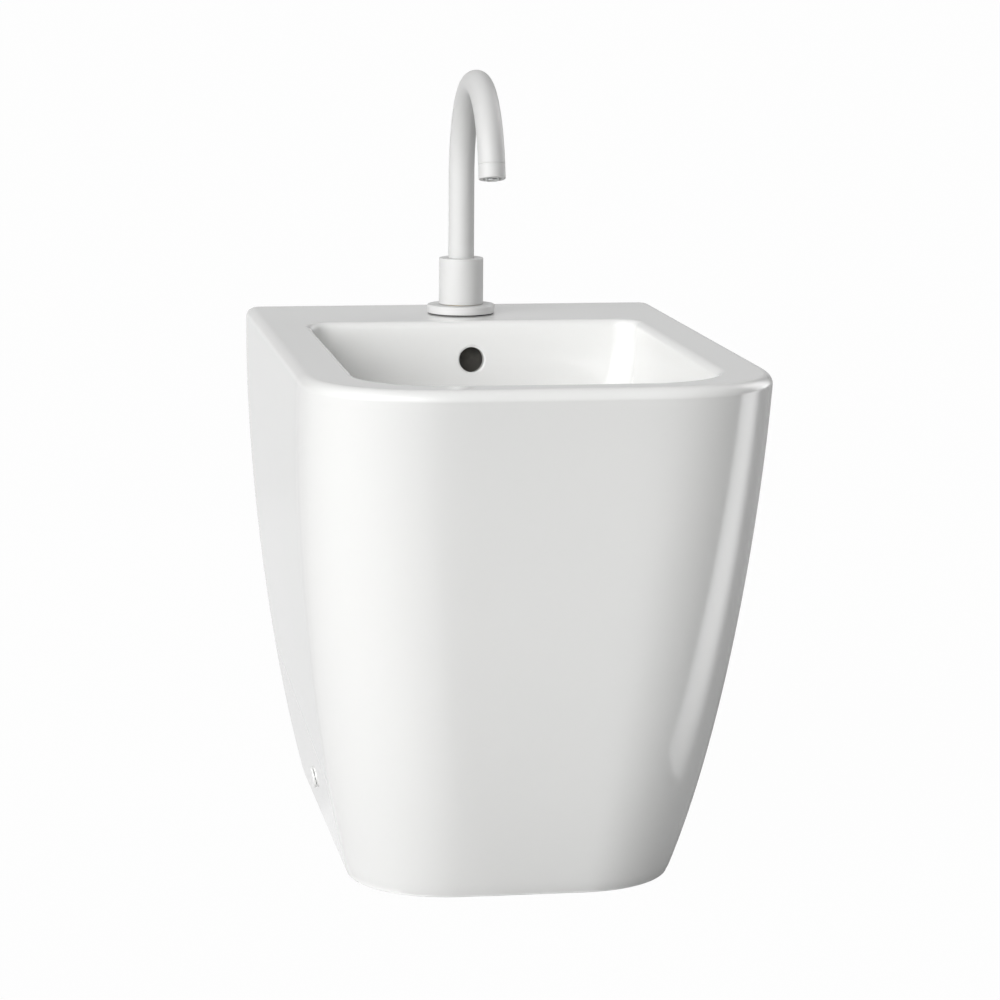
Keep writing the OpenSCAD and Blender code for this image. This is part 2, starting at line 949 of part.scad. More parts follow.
module nozzle_ball() {
    color(chrome_colour)
        at_nozzle()
            difference() {
                union() {
                    intersection() {
                        translate([0, 0, ball_z])
                            sphere(r = ball_r);
                        translate([0, 0, ball_z - 5])
                            cylinder(r = ball_r + 1, h = 9.2);
                    }
                    translate([0, 0, -snout_out])
                        cylinder(r = snout_r, h = ball_z + snout_out);
                }
                translate([0, 0, -snout_out - 1])
                    cylinder(r = ball_bore_r, h = 20);
            }
}

module aerator_insert() {
    insert_l = 7;
    jet_ring_r = 2.9;
    color(plastic_colour)
        at_nozzle()
            difference() {
                translate([0, 0, 0.4 - snout_out])
                    cylinder(r = ball_bore_r - 0.03, h = insert_l);
                for (i = [0:5])
                    rotate(60 * i)
                        translate([jet_ring_r, 0, -snout_out])
                            cylinder(r = 0.9, h = insert_l + 2, $fn = 24);
                translate([0, 0, -snout_out])
                    cylinder(r = 0.9, h = insert_l + 2, $fn = 24);
            }
}

// ---- Click waste ----
tail_r = waste_tail_d / 2;
waste_bore_r = waste_bore_d / 2;
waste_rim_t = 3;
waste_top_z = basin_floor_z;
waste_under_z = waste_top_z - waste_rim_t;
waste_low_z = waste_under_z - waste_l;
ledge_z = waste_under_z - 27;
seat_ring_t = seat_drop - waste_rim_t;

module at_waste() {
    translate([0, waste_y, 0])
        children();
}

module waste_flange() {
    window_w = 14;
    color(chrome_colour)
        at_waste()
            difference() {
                rotate_extrude()
                    polygon([
                        [waste_bore_r - 1, waste_low_z],
                        [tail_r, waste_low_z],
                        [tail_r, waste_under_z],
                        [waste_flange_d / 2, waste_under_z],
                        [waste_flange_d / 2, waste_top_z - 1],
                        [waste_flange_d / 2 - 1, waste_top_z],
                        [waste_flange_d / 2 - 5, waste_top_z],
                        [waste_bore_r + 3, waste_top_z - 1.5],
                        [waste_bore_r, waste_top_z - 4],
                        [waste_bore_r, ledge_z],
                        [waste_bore_r - 1, ledge_z]
                    ]);
                translate([-window_w / 2, -tail_r - 1, duct_low_z + 3])
                    cube([window_w, 2 * tail_r + 2, duct_gap - 4]);
            }
}

module flange_seal() {
    color(rubber_colour)
        at_waste()
            washer(drain_hole_r, waste_flange_d / 2 - 1, basin_floor_z - seat_drop, seat_ring_t);
}

back_seal_t = 6;
back_washer_t = 2;
back_nut_t = 12;

module back_seal() {
    color(rubber_colour)
        at_waste()
            rotate_extrude()
                polygon([
                    [tail_r + push_gap, collar_bottom_z - back_seal_t],
                    [collar_r - 6, collar_bottom_z - back_seal_t],
                    [collar_r - 3, collar_bottom_z],
                    [tail_r + push_gap, collar_bottom_z]
                ]);
}

module back_washer() {
    color(plastic_colour)
        at_waste()
            washer(
                tail_r + push_gap, collar_r - 6,
                collar_bottom_z - back_seal_t - back_washer_t, back_washer_t
            );
}

module back_nut() {
    color(plastic_colour)
        at_waste()
            hex_nut(
                waste_tail_d + 16, tail_r + run_gap,
                collar_bottom_z - back_seal_t - back_washer_t - back_nut_t, back_nut_t
            );
}

// Click insert: a barrel on three legs, with a spring under the plug's stem
stem_rod_r = 4;
barrel_r = 8;
barrel_floor_z = ledge_z - 23;
barrel_top_z = ledge_z + 10;
leg_h = 8;
stem_low_z = barrel_floor_z + 20;
cap_under_z = waste_top_z + plug_lift + 1;

module click_barrel() {
    color(plastic_colour)
        at_waste()
            difference() {
                union() {
                    translate([0, 0, barrel_floor_z - 3])
                        cylinder(r = barrel_r, h = barrel_top_z - barrel_floor_z + 3);
                    for (i = [0:2])
                        rotate(120 * i)
                            translate([barrel_r - 2, -1.5, ledge_z])
                                cube([waste_bore_r - 0.3 - barrel_r + 2, 3, leg_h]);
                }
                translate([0, 0, barrel_floor_z])
                    cylinder(r = stem_rod_r + run_gap, h = 60);
            }
}

// One unbroken helix, swept as a six sided wire
spring_turns = 6;
spring_steps = 16;
spring_wire_r = 0.45;
spring_r = stem_rod_r - spring_wire_r - 0.15;
spring_l = stem_low_z - barrel_floor_z - 2 * spring_wire_r - 0.04;

module click_spring() {
    n = spring_turns * spring_steps;
    points = [
        for (i = [0:n])
            let (a = 360 * i / spring_steps, z = spring_l * i / n)
            for (k = [0:5])
                let (w = 60 * k, r = spring_r + spring_wire_r * cos(w))
                [r * cos(a), r * sin(a), z + spring_wire_r * sin(w)]
    ];
    sides = [
        for (i = [0:n - 1], k = [0:5])
            let (m = (k + 1) % 6)
            each [
                [6 * i + k, 6 * i + m, 6 * (i + 1) + m],
                [6 * i + k, 6 * (i + 1) + m, 6 * (i + 1) + k]
            ]
    ];
    first = [5, 4, 3, 2, 1, 0];
    last = [for (k = [0:5]) 6 * n + k];
    color(steel_colour)
        at_waste()
            translate([0, 0, barrel_floor_z + spring_wire_r + 0.02])
                polyhedron(points = points, faces = concat([first, last], sides));
}

module plug_stem() {
    color(steel_colour)
        at_waste()
            translate([0, 0, stem_low_z])
                cylinder(r = stem_rod_r, h = cap_under_z - stem_low_z);
}

cap_edge_t = 2;
cap_crown = 3;

module plug_cap() {
    r = plug_cap_d / 2;
    crown_r = (r * r + cap_crown * cap_crown) / (2 * cap_crown);
    color(chrome_colour)
        at_waste()
            union() {
                translate([0, 0, cap_under_z])
                    cylinder(r = r, h = cap_edge_t);
                intersection() {
                    translate([0, 0, cap_under_z + cap_edge_t])
                        cylinder(r = r, h = cap_crown + 1);
                    translate([0, 0, cap_under_z + cap_edge_t + cap_crown - crown_r])
                        sphere(r = crown_r, $fn = 180);
                }
            }
}

module plug_seal() {
    color(rubber_colour)
        at_waste()
            washer(waste_bore_r + 3.5, plug_cap_d / 2 - 1.5, cap_under_z - 1, 1);
}

// ---- Bottle trap, hung from the waste ----
outlet_h = waste_low_z - outlet_drop;
pipe_r = pipe_d / 2;
inlet_seal_t = 2;
inlet_collar_t = 3;
inlet_collar_r = tail_r - 0.5;
inlet_top_z = waste_low_z - inlet_seal_t;
nut_over = 12;
inlet_lip = 7;
head_wall = 4;
head_half_h = 22;
head_low_z = outlet_h - head_half_h;
head_high_z = outlet_h + head_half_h;
trap_r = trap_d / 2;
boss_r = pipe_r + 4;
boss_h = 10;
thread_h = 12;
stub_l = 22;
stub_y = waste_y + trap_r;

module inlet_seal() {
    color(rubber_colour)
        at_waste()
            washer(pipe_r - pipe_t, inlet_collar_r, inlet_top_z, inlet_seal_t);
}

module inlet_nut() {
    low_z = inlet_top_z - inlet_collar_t - inlet_lip;
    nut_h = inlet_lip + inlet_collar_t + inlet_seal_t + nut_over;
    color(plastic_colour)
        at_waste()
            difference() {
                grip_ring(tail_r + 5, low_z, nut_h);
                translate([0, 0, low_z + inlet_lip])
                    cylinder(r = tail_r + run_gap, h = nut_h);
                translate([0, 0, low_z - 1])
                    cylinder(r = pipe_r + run_gap, h = nut_h);
            }
}

// The body of a hand nut, with flutes round it for grip
module grip_ring(r, z, h) {
    flutes = 12;
    translate([0, 0, z])
        difference() {
            cylinder(r = r, h = h);
            for (i = [0:flutes - 1])
                rotate(360 * i / flutes)
                    translate([r + 1.2, 0, -1])
                        cylinder(r = 2.4, h = h + 2, $fn = 24);
        }
}

dip_l = 36;
dip_low_z = head_low_z - dip_l;

module trap_inlet_pipe() {
    color(plastic_colour)
        at_waste()
            difference() {
                union() {
                    translate([0, 0, dip_low_z])
                        cylinder(r = pipe_r, h = inlet_top_z - dip_low_z);
                    translate([0, 0, inlet_top_z - inlet_collar_t])
                        cylinder(r = inlet_collar_r, h = inlet_collar_t);
                }
                translate([0, 0, dip_low_z - 1])
                    cylinder(r = pipe_r - pipe_t, h = inlet_top_z - dip_low_z + 2);
            }
}

module trap_top_nut() {
    nut_h = boss_h + 4;
    color(plastic_colour)
        at_waste()
            difference() {
                grip_ring(boss_r + 5, head_high_z + 0.5, nut_h);
                translate([0, 0, head_high_z])
                    cylinder(r = boss_r + run_gap, h = boss_h + 0.5);
                translate([0, 0, head_high_z])
                    cylinder(r = pipe_r + run_gap, h = nut_h + 2);
            }
}

module trap_head() {
    inner_r = trap_r - head_wall;
    color(plastic_colour)
        difference() {
            union() {
                at_waste() {
                    translate([0, 0, head_low_z])
                        cylinder(r = trap_r, h = head_high_z - head_low_z);
                    translate([0, 0, head_low_z - thread_h])
                        cylinder(r = trap_r - 1, h = thread_h + 1);
                    translate([0, 0, head_high_z])
                        cylinder(r = boss_r, h = boss_h);
                }
                translate([0, waste_y, outlet_h])
                    rotate([-90, 0, 0])
                        cylinder(r = boss_r, h = trap_r + stub_l);
            }
            at_waste() {
                translate([0, 0, head_low_z - thread_h - 1])
                    cylinder(r = inner_r, h = head_high_z - head_wall - head_low_z + thread_h + 1);
                translate([0, 0, head_high_z - head_wall - 1])
                    cylinder(r = pipe_r + run_gap, h = head_wall + boss_h + 2);
            }
            translate([0, waste_y, outlet_h])
                rotate([-90, 0, 0])
                    cylinder(r = pipe_r - pipe_t, h = trap_r + stub_l + 1);
            translate([0, stub_y + 2, outlet_h])
                rotate([-90, 0, 0])
                    cylinder(r = pipe_r + run_gap, h = stub_l);
        }
}

cup_ring_r = trap_r + 4;
cup_ring_h = thread_h + 3;
cup_h = 64;
cup_low_z = head_low_z - cup_h;
cup_wall = 3;
cup_seal_t = 1;

module cup_seal() {
    color(rubber_colour)
        at_waste()
            washer(trap_r - 1 + run_gap, trap_r + 1, head_low_z - cup_seal_t, cup_seal_t);
}

module trap_cup() {
    ring_low_z = head_low_z - cup_seal_t - cup_ring_h;
    cup_r = trap_r - 1;
    cup_round = 14;
    color(plastic_colour)
        at_waste()
            difference() {
                union() {
                    grip_ring(cup_ring_r, ring_low_z, cup_ring_h);
                    translate([0, 0, cup_low_z + cup_round])
                        cylinder(r = cup_r, h = ring_low_z - cup_low_z - cup_round + 1);
                    translate([0, 0, cup_low_z + cup_round])
                        rotate_extrude()
                            translate([cup_r - cup_round, 0])
                                circle(cup_round);
                    translate([0, 0, cup_low_z])
                        cylinder(r = cup_r - cup_round, h = cup_round * 2);
                }
                translate([0, 0, ring_low_z + 3])
                    cylinder(r = trap_r - 1 + run_gap, h = cup_ring_h);
                translate([0, 0, cup_low_z + cup_round])
                    cylinder(r = cup_r - cup_wall, h = cup_ring_h + head_low_z);
                translate([0, 0, cup_low_z + cup_wall])
                    cylinder(r = cup_r - cup_round, h = cup_round);
            }
}

module outlet_nut() {
    nut_h = 16;
    color(plastic_colour)
        translate([0, stub_y + stub_l - nut_h + 4, outlet_h])
            rotate([-90, 0, 0])
                difference() {
                    grip_ring(boss_r + 5, 0, nut_h);
                    translate([0, 0, -1])
                        cylinder(r = boss_r + run_gap, h = nut_h - 3);
                    translate([0, 0, -1])
                        cylinder(r = pipe_r + run_gap, h = nut_h + 2);
                }
}

spigot_gap = 0.4;

module outlet_pipe() {
    start_y = stub_y + 3;
    full_y = stub_y + stub_l + 7;
    color(plastic_colour)
        translate([0, start_y, outlet_h])
            rotate([-90, 0, 0])
                difference() {
                    union() {
                        cylinder(r = pipe_r - spigot_gap, h = wall_y - start_y - 1);
                        translate([0, 0, full_y - start_y])
                            cylinder(r = pipe_r, h = wall_y - full_y);
                    }
                    translate([0, 0, -1])
                        cylinder(r = pipe_r - pipe_t, h = wall_y - start_y + 2);
                }
}

// ---- Floor fixings ----
rib_t = 3;
bracket_x = pad_x - bracket_t;

module floor_bracket() {
    difference() {
        union() {
            translate([bracket_x, fixing_y - bracket_w / 2, 0])
                cube([bracket_t, bracket_w, bracket_h]);
            translate([bracket_x + bracket_t - bracket_foot, fixing_y - bracket_w / 2, 0])
                cube([bracket_foot, bracket_w, bracket_t]);
            for (end = [-1, 1])
                translate([0, fixing_y + end * (bracket_w / 2 - rib_t / 2), 0])
                    rotate([90, 0, 0])
                        translate([0, 0, -rib_t / 2])
                            linear_extrude(rib_t)
                                polygon([
                                    [bracket_x + 1, bracket_t - 1],
                                    [bracket_x + 1, bracket_h * 0.7],
                                    [bracket_x - bracket_foot * 0.6, bracket_t - 1]
                                ]);
            translate([bracket_x - 5, fixing_y, fixing_h])
                rotate([0, 90, 0])
                    cylinder(r = side_screw_d, h = 6, $fn = 6);
        }
        translate([bracket_x - 10, fixing_y, fixing_h])
            rotate([0, 90, 0])
                cylinder(r = side_screw_d / 2 + run_gap, h = 30);
        for (end = [-1, 1])
            translate([pad_x - floor_hole_in, fixing_y + end * floor_hole_pitch / 2, -1])
                cylinder(d = floor_hole_d, h = bracket_t + 2);
    }
}

module both_sides() {
    children();
    mirror([1, 0, 0])
        children();
}

module floor_brackets() {
    color(steel_colour)
        both_sides()
            floor_bracket();
}

screw_washer_t = 1.5;
screw_head_h = 4;

module side_screws() {
    head_x = screw_head_x + screw_washer_t;
    tip_x = bracket_x - 8;
    color(steel_colour)
        both_sides()
            translate([0, fixing_y, fixing_h])
                rotate([0, 90, 0])
                    difference() {
                        union() {
                            translate([0, 0, tip_x])
                                cylinder(d = side_screw_d, h = head_x - tip_x + 1);
                            translate([0, 0, head_x])
                                cylinder(r = side_screw_d * 0.9, h = screw_head_h);
                        }
                        translate([0, 0, head_x + screw_head_h - 2])
                            cylinder(r = 2.3, h = 3, $fn = 6);
                    }
}

module screw_washers() {
    color(plastic_colour)
        both_sides()
            translate([0, fixing_y, fixing_h])
                rotate([0, 90, 0])
                    washer(
                        side_screw_d / 2 + push_gap, cap_bore_r - 2 * push_gap,
                        screw_head_x, screw_washer_t
                    );
}

// The flare's half width at height z, and its slope there, found along the curve
function level_t(z, low = 0, high = 1, n = 24) =
    let (mid = (low + high) / 2)
    n == 0 ? mid : curve(flare_z, mid) < z ? level_t(z, mid, high, n - 1) : level_t(z, low, mid, n - 1);
function side_at(z) = curve(side_x, level_t(z));

cap_t = 1.6;
cap_stem_l = 5;

module side_caps() {
    lean = atan((side_at(fixing_h + 4) - side_at(fixing_h - 4)) / 8);
    color(glaze_colour)
        both_sides()
            translate([side_at(fixing_h) + free_gap, fixing_y, fixing_h])
                rotate([0, 90 + lean, 0])
                    difference() {
                        union() {
                            cylinder(d = cap_d, h = cap_t);
                            translate([0, 0, -cap_stem_l])
                                cylinder(r = cap_bore_r - 0.9, h = cap_stem_l + 1);
                        }
                        translate([0, 0, -cap_stem_l - 1])
                            cylinder(r = cap_bore_r - 2.4, h = cap_stem_l);
                    }
}

ceramic_pedestal();
ceramic_rim();
ceramic_basin();
base_gasket();
tap_flange();
tap_column();
shank_gasket();
shank_plate();
shank_nut();
disc_seal();
fixed_disc();
moving_disc();
disc_carrier();
control_collar();
collar_grub_screw();
spout_stem();
spout_o_rings();
spout_clip();
spout_tube();
nozzle_adapter();
nozzle_housing();
nozzle_seat();
nozzle_ball();
aerator_insert();
waste_flange();
flange_seal();
back_seal();
back_washer();
back_nut();
click_barrel();
click_spring();
plug_stem();
plug_cap();
plug_seal();
inlet_seal();
inlet_nut();
trap_inlet_pipe();
trap_top_nut();
trap_head();
cup_seal();
trap_cup();
outlet_nut();
outlet_pipe();
floor_brackets();
side_screws();
screw_washers();
side_caps();
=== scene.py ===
import bmesh
import bpy
import json
import math
from mathutils import Matrix, Vector


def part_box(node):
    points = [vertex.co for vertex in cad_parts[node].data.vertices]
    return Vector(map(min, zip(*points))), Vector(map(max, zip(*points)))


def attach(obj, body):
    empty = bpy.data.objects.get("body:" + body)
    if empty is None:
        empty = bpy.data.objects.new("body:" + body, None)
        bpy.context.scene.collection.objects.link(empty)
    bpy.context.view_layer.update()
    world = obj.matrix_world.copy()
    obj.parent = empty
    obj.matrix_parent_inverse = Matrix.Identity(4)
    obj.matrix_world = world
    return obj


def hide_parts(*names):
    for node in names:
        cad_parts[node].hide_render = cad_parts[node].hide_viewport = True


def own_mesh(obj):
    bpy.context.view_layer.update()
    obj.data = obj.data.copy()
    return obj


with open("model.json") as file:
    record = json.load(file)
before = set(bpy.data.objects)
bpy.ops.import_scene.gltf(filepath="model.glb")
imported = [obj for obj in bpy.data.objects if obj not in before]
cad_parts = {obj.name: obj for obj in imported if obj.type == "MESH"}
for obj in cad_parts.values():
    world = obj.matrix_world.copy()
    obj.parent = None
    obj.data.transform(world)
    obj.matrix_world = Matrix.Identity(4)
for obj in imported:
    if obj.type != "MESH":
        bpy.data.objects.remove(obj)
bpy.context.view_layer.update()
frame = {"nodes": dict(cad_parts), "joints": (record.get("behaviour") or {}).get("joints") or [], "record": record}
nodes = frame["nodes"]
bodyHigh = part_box("ceramic_rim")[1]
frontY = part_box("ceramic_rim")[0].y
wallY = bodyHigh.y
rimZ = bodyHigh.z
print("frame loaded:", len(nodes), "nodes")


# a shader socket that takes part in Python sums

class Signal:
    def __init__(self, graph, socket):
        self.graph = graph
        self.socket = socket

    def __add__(self, other):
        return self.graph.maths("ADD", self, other)

    def __sub__(self, other):
        return self.graph.maths("SUBTRACT", self, other)

    def __rsub__(self, other):
        return self.graph.maths("SUBTRACT", other, self)

    def __mul__(self, other):
        return self.graph.maths("MULTIPLY", self, other)

    __radd__ = __add__
    __rmul__ = __mul__


class Graph:
    def __init__(self, tree):
        self.tree = tree
        tree.nodes.clear()

    def node(self, kind, settings=None, values=None, out=0):
        made = self.tree.nodes.new(kind)
        for name, value in (settings or {}).items():
            setattr(made, name, value)
        for key, value in (values or {}).items():
            if isinstance(value, Signal):
                self.tree.links.new(value.socket, made.inputs[key])
            else:
                made.inputs[key].default_value = value
        return Signal(self, made.outputs[out]) if made.outputs else None

    def maths(self, operation, first, second=0.0):
        return self.node("ShaderNodeMath", {"operation": operation}, {0: first, 1: second})

    def other(self, signal, out):
        # another output of the node that this signal comes from
        return Signal(self, signal.socket.node.outputs[out])

    def parts(self, vector):
        apart = self.node("ShaderNodeSeparateXYZ", None, {0: vector})
        return apart, self.other(apart, 1), self.other(apart, 2)

    def place(self):
        return self.node("ShaderNodeTexCoord", None, None, "Object")

    def noise(self, place, scale, detail, rough=0.5, stretch=(1, 1, 1)):
        mapped = self.node("ShaderNodeMapping", None, {"Vector": place, "Scale": stretch})
        values = {"Vector": mapped, "Scale": scale, "Detail": detail, "Roughness": rough}
        return self.node("ShaderNodeTexNoise", None, values)

    def between(self, value, low, high, start=0.0, end=1.0):
        # goes smoothly from start to end while value goes from low to high
        settings = {"interpolation_type": "SMOOTHSTEP"}
        return self.node("ShaderNodeMapRange", settings, {0: value, 1: low, 2: high, 3: start, 4: end})

    def mix(self, mask, first, second):
        # inputs 6 and 7 are the two colours and output 2 is the mixed one
        return self.node("ShaderNodeMix", {"data_type": "RGBA"}, {0: mask, 6: first, 7: second}, 2)

    def bump(self, height, relief, depth):
        return self.node("ShaderNodeBump", None, {"Strength": relief, "Distance": depth, "Height": height})


def rgba(red, green, blue):
    return (red, green, blue, 1.0)


# finishes: a noise is (spots in a metre, detail, roughness, stretch), and depths are in metres

def newFinish(name):
    finish = bpy.data.materials.new(name)
    finish.use_nodes = True
    return finish, Graph(finish.node_tree)


def surface(graph, values):
    shader = graph.node("ShaderNodeBsdfPrincipled", None, values)
    graph.node("ShaderNodeOutputMaterial", None, {0: shader})


glaze = {
    "colour": rgba(0.80, 0.80, 0.79), "pooled": rgba(0.78, 0.785, 0.775),
    "pools": (5.0, 2.0), "poolEdges": (0.35, 0.75), "pooling": 0.5,
    "roughness": 0.30, "underShine": 0.1, "index": 1.5, "coatRoughness": 0.025,
    "waves": (9.0, 1.0), "waveDepth": 0.0006,
    "peel": (160.0, 2.0), "peelDepth": 0.00001, "relief": 0.35,
}


def glazedWhite():
    finish, graph = newFinish("glazedWhite")
    place = graph.place()
    wave = graph.noise(place, *glaze["waves"])
    peel = graph.noise(place, *glaze["peel"])
    pooling = graph.between(graph.noise(place, *glaze["pools"]), *glaze["poolEdges"])
    height = wave * (glaze["waveDepth"] / glaze["peelDepth"]) + peel
    surface(graph, {
        "Base Color": graph.mix(pooling * glaze["pooling"], glaze["colour"], glaze["pooled"]),
        "Roughness": glaze["roughness"],
        "IOR": glaze["index"],
        "Specular IOR Level": glaze["underShine"],
        "Coat Weight": 1.0,
        "Coat Roughness": glaze["coatRoughness"],
        "Coat IOR": glaze["index"],
        "Normal": graph.bump(height, glaze["relief"], glaze["peelDepth"]),
    })
    return finish


biscuit = {
    "colour": rgba(0.74, 0.71, 0.65), "dusty": rgba(0.60, 0.57, 0.52),
    "blotches": (14.0, 5.0, 0.6), "blotchEdges": (0.35, 0.7),
    "grain": (900.0, 4.0, 0.7), "grainDepth": 0.0003, "relief": 0.5,
    "roughness": 0.72, "grainRoughness": 0.2, "index": 1.45,
}


def biscuitClay():
    finish, graph = newFinish("biscuitClay")
    place = graph.place()
    blotch = graph.between(graph.noise(place, *biscuit["blotches"]), *biscuit["blotchEdges"])
    grain = graph.noise(place, *biscuit["grain"])
    surface(graph, {
        "Base Color": graph.mix(blotch, biscuit["colour"], biscuit["dusty"]),
        "Roughness": biscuit["roughness"] + grain * biscuit["grainRoughness"],
        "IOR": biscuit["index"],
        "Normal": graph.bump(grain, biscuit["relief"], biscuit["grainDepth"]),
    })
    return finish


enamel = {
    "colour": rgba(0.61, 0.61, 0.605), "worn": rgba(0.585, 0.585, 0.575),
    "wear": (30.0, 3.0), "wearEdges": (0.55, 0.8), "wearing": 0.5,
    "peel": (420.0, 2.0), "peelDepth": 0.00002, "relief": 0.2,
    "roughness": 0.45, "index": 1.5, "coat": 0.22, "coatRoughness": 0.14,
}


def enamelWhite():
    finish, graph = newFinish("enamelWhite")
    place = graph.place()
    peel = graph.noise(place, *enamel["peel"])
    wear = graph.between(graph.noise(place, *enamel["wear"]), *enamel["wearEdges"])
    surface(graph, {
        "Base Color": graph.mix(wear * enamel["wearing"], enamel["colour"], enamel["worn"]),
        "Roughness": enamel["roughness"],
        "IOR": enamel["index"],
        "Coat Weight": enamel["coat"],
        "Coat Roughness": enamel["coatRoughness"],
        "Coat IOR": enamel["index"],
        "Normal": graph.bump(peel, enamel["relief"], enamel["peelDepth"]),
    })
    return finish


chrome = {
    "colour": rgba(0.80, 0.81, 0.82),
    "marks": (55.0, 4.0, 0.6), "markEdges": (0.5, 0.9),
    "roughness": 0.045, "markRoughness": 0.06,
    "waves": (300.0, 2.0), "waveDepth": 0.00002, "relief": 0.15,
}


def polishedChrome():
    finish, graph = newFinish("polishedChrome")
    place = graph.place()
    marks = graph.between(graph.noise(place, *chrome["marks"]), *chrome["markEdges"])
    waves = graph.noise(place, *chrome["waves"])
    surface(graph, {
        "Base Color": chrome["colour"],
        "Metallic": 1.0,
        "Roughness": chrome["roughness"] + marks * chrome["markRoughness"],
        "Normal": graph.bump(waves, chrome["relief"], chrome["waveDepth"]),
    })
    return finish


zinc = {
    "dull": rgba(0.44, 0.45, 0.46), "bright": rgba(0.60, 0.61, 0.62), "spangle": (160.0, 4.0, 0.6),
    "lines": (220.0, 3.0, 0.6, (0.06, 1.0, 1.0)), "lineDepth": 0.00006, "relief": 0.25,
    "roughness": 0.24, "lineRoughness": 0.22,
}


def zincSteel():
    finish, graph = newFinish("zincSteel")
    place = graph.place()
    spangle = graph.noise(place, *zinc["spangle"])
    lines = graph.noise(place, *zinc["lines"])
    surface(graph, {
        "Base Color": graph.mix(spangle, zinc["dull"], zinc["bright"]),
        "Metallic": 1.0,
        "Roughness": zinc["roughness"] + lines * zinc["lineRoughness"],
        "Normal": graph.bump(lines, zinc["relief"], zinc["lineDepth"]),
    })
    return finish


brass = {
    "colour": rgba(0.62, 0.44, 0.17), "tarnished": rgba(0.42, 0.28, 0.11),
    "tarnish": (60.0, 5.0, 0.6), "tarnishEdges": (0.4, 0.75),
    "rings": (90.0, 3.0, 0.6, (0.05, 0.05, 12.0)), "ringDepth": 0.00008, "relief": 0.3,
    "roughness": 0.20, "tarnishRoughness": 0.22,
}


def turnedBrass():
    finish, graph = newFinish("turnedBrass")
    place = graph.place()
    rings = graph.noise(place, *brass["rings"])
    tarnish = graph.between(graph.noise(place, *brass["tarnish"]), *brass["tarnishEdges"])
    surface(graph, {
        "Base Color": graph.mix(tarnish, brass["colour"], brass["tarnished"]),
        "Metallic": 1.0,
        "Roughness": brass["roughness"] + tarnish * brass["tarnishRoughness"],
        "Normal": graph.bump(rings, brass["relief"], brass["ringDepth"]),
    })
    return finish


plastic = {
    "colour": rgba(0.74, 0.74, 0.72), "dusted": rgba(0.64, 0.63, 0.60),
    "dust": (22.0, 5.0, 0.6), "dustEdges": (0.45, 0.8), "dusting": 0.6,
    "spark": (1400.0, 2.0), "sparkDepth": 0.00005, "relief": 0.25,
    "roughness": 0.36, "dustRoughness": 0.16, "index": 1.49,
}


def mouldedPlastic():
    finish, graph = newFinish("mouldedPlastic")
    place = graph.place()
    spark = graph.noise(place, *plastic["spark"])
    dust = graph.between(graph.noise(place, *plastic["dust"]), *plastic["dustEdges"])
    surface(graph, {
        "Base Color": graph.mix(dust * plastic["dusting"], plastic["colour"], plastic["dusted"]),
        "Roughness": plastic["roughness"] + dust * plastic["dustRoughness"],
        "IOR": plastic["index"],
        "Normal": graph.bump(spark, plastic["relief"], plastic["sparkDepth"]),
    })
    return finish


rubber = {
    "colour": rgba(0.022, 0.022, 0.022), "bloomed": rgba(0.045, 0.044, 0.042),
    "bloom": (120.0, 4.0, 0.6), "bloomEdges": (0.45, 0.8), "bloomDepth": 0.0001, "relief": 0.2,
    "roughness": 0.62, "bloomRoughness": 0.2, "index": 1.5,
}


def mattRubber():
    finish, graph = newFinish("mattRubber")
    bloom = graph.between(graph.noise(graph.place(), *rubber["bloom"]), *rubber["bloomEdges"])
    surface(graph, {
        "Base Color": graph.mix(bloom, rubber["colour"], rubber["bloomed"]),
        "Roughness": rubber["roughness"] + bloom * rubber["bloomRoughness"],
        "IOR": rubber["index"],
        "Normal": graph.bump(bloom, rubber["relief"], rubber["bloomDepth"]),
    })
    return finish


lapped = {
    "colour": rgba(0.62, 0.59, 0.52), "specked": rgba(0.56, 0.53, 0.47),
    "specks": (700.0, 4.0, 0.7), "speckEdges": (0.4, 0.8),
    "roughness": 0.14, "speckRoughness": 0.1, "index": 1.7,
}


def lappedCeramic():
    finish, graph = newFinish("lappedCeramic")
    speck = graph.between(graph.noise(graph.place(), *lapped["specks"]), *lapped["speckEdges"])
    surface(graph, {
        "Base Color": graph.mix(speck, lapped["colour"], lapped["specked"]),
        "Roughness": lapped["roughness"] + speck * lapped["speckRoughness"],
        "IOR": lapped["index"],
    })
    return finish


# painted shade: the overflow duct's inside is coloured near black so that it looks dark as if in shadow, with
# random lighter blotches
ductPaintedShade = {
    "colour": rgba(0.10, 0.095, 0.085), "blotchedShade": rgba(0.16, 0.15, 0.135),
    "scale": (60.0, 4.0, 0.6), "shadeBlotchEdges": (0.4, 0.7),
    "roughness": 0.5, "shadeBlotchRoughness": 0.3, "index": 1.45,
}


def paintedShadeDuct():
    finish, graph = newFinish("paintedShadeDuct")
    scale = graph.between(graph.noise(graph.place(), *ductPaintedShade["scale"]), *ductPaintedShade["shadeBlotchEdges"])
    surface(graph, {
        "Base Color": graph.mix(scale, ductPaintedShade["colour"], ductPaintedShade["blotchedShade"]),
        "Roughness": ductPaintedShade["roughness"] + scale * ductPaintedShade["shadeBlotchRoughness"],
        "IOR": ductPaintedShade["index"],
    })
    return finish


finishes = {
    "glaze": glazedWhite(),
    "tap_white": enamelWhite(),
    "chrome": polishedChrome(),
    "steel": zincSteel(),
    "brass": turnedBrass(),
    "white_plastic": mouldedPlastic(),
    "rubber": mattRubber(),
    "disc_ceramic": lappedCeramic(),
}
ceramicFinishes = [finishes["glaze"], biscuitClay(), paintedShadeDuct()]
bareClay = 1  # places in ceramicFinishes
# the duct's inside takes the near black painted shade
paintedShadeInside = 2

meshEdge = {"sharpAngle": math.radians(32.0), "nodeWeld": 0.000004, "merge": 0.000001}


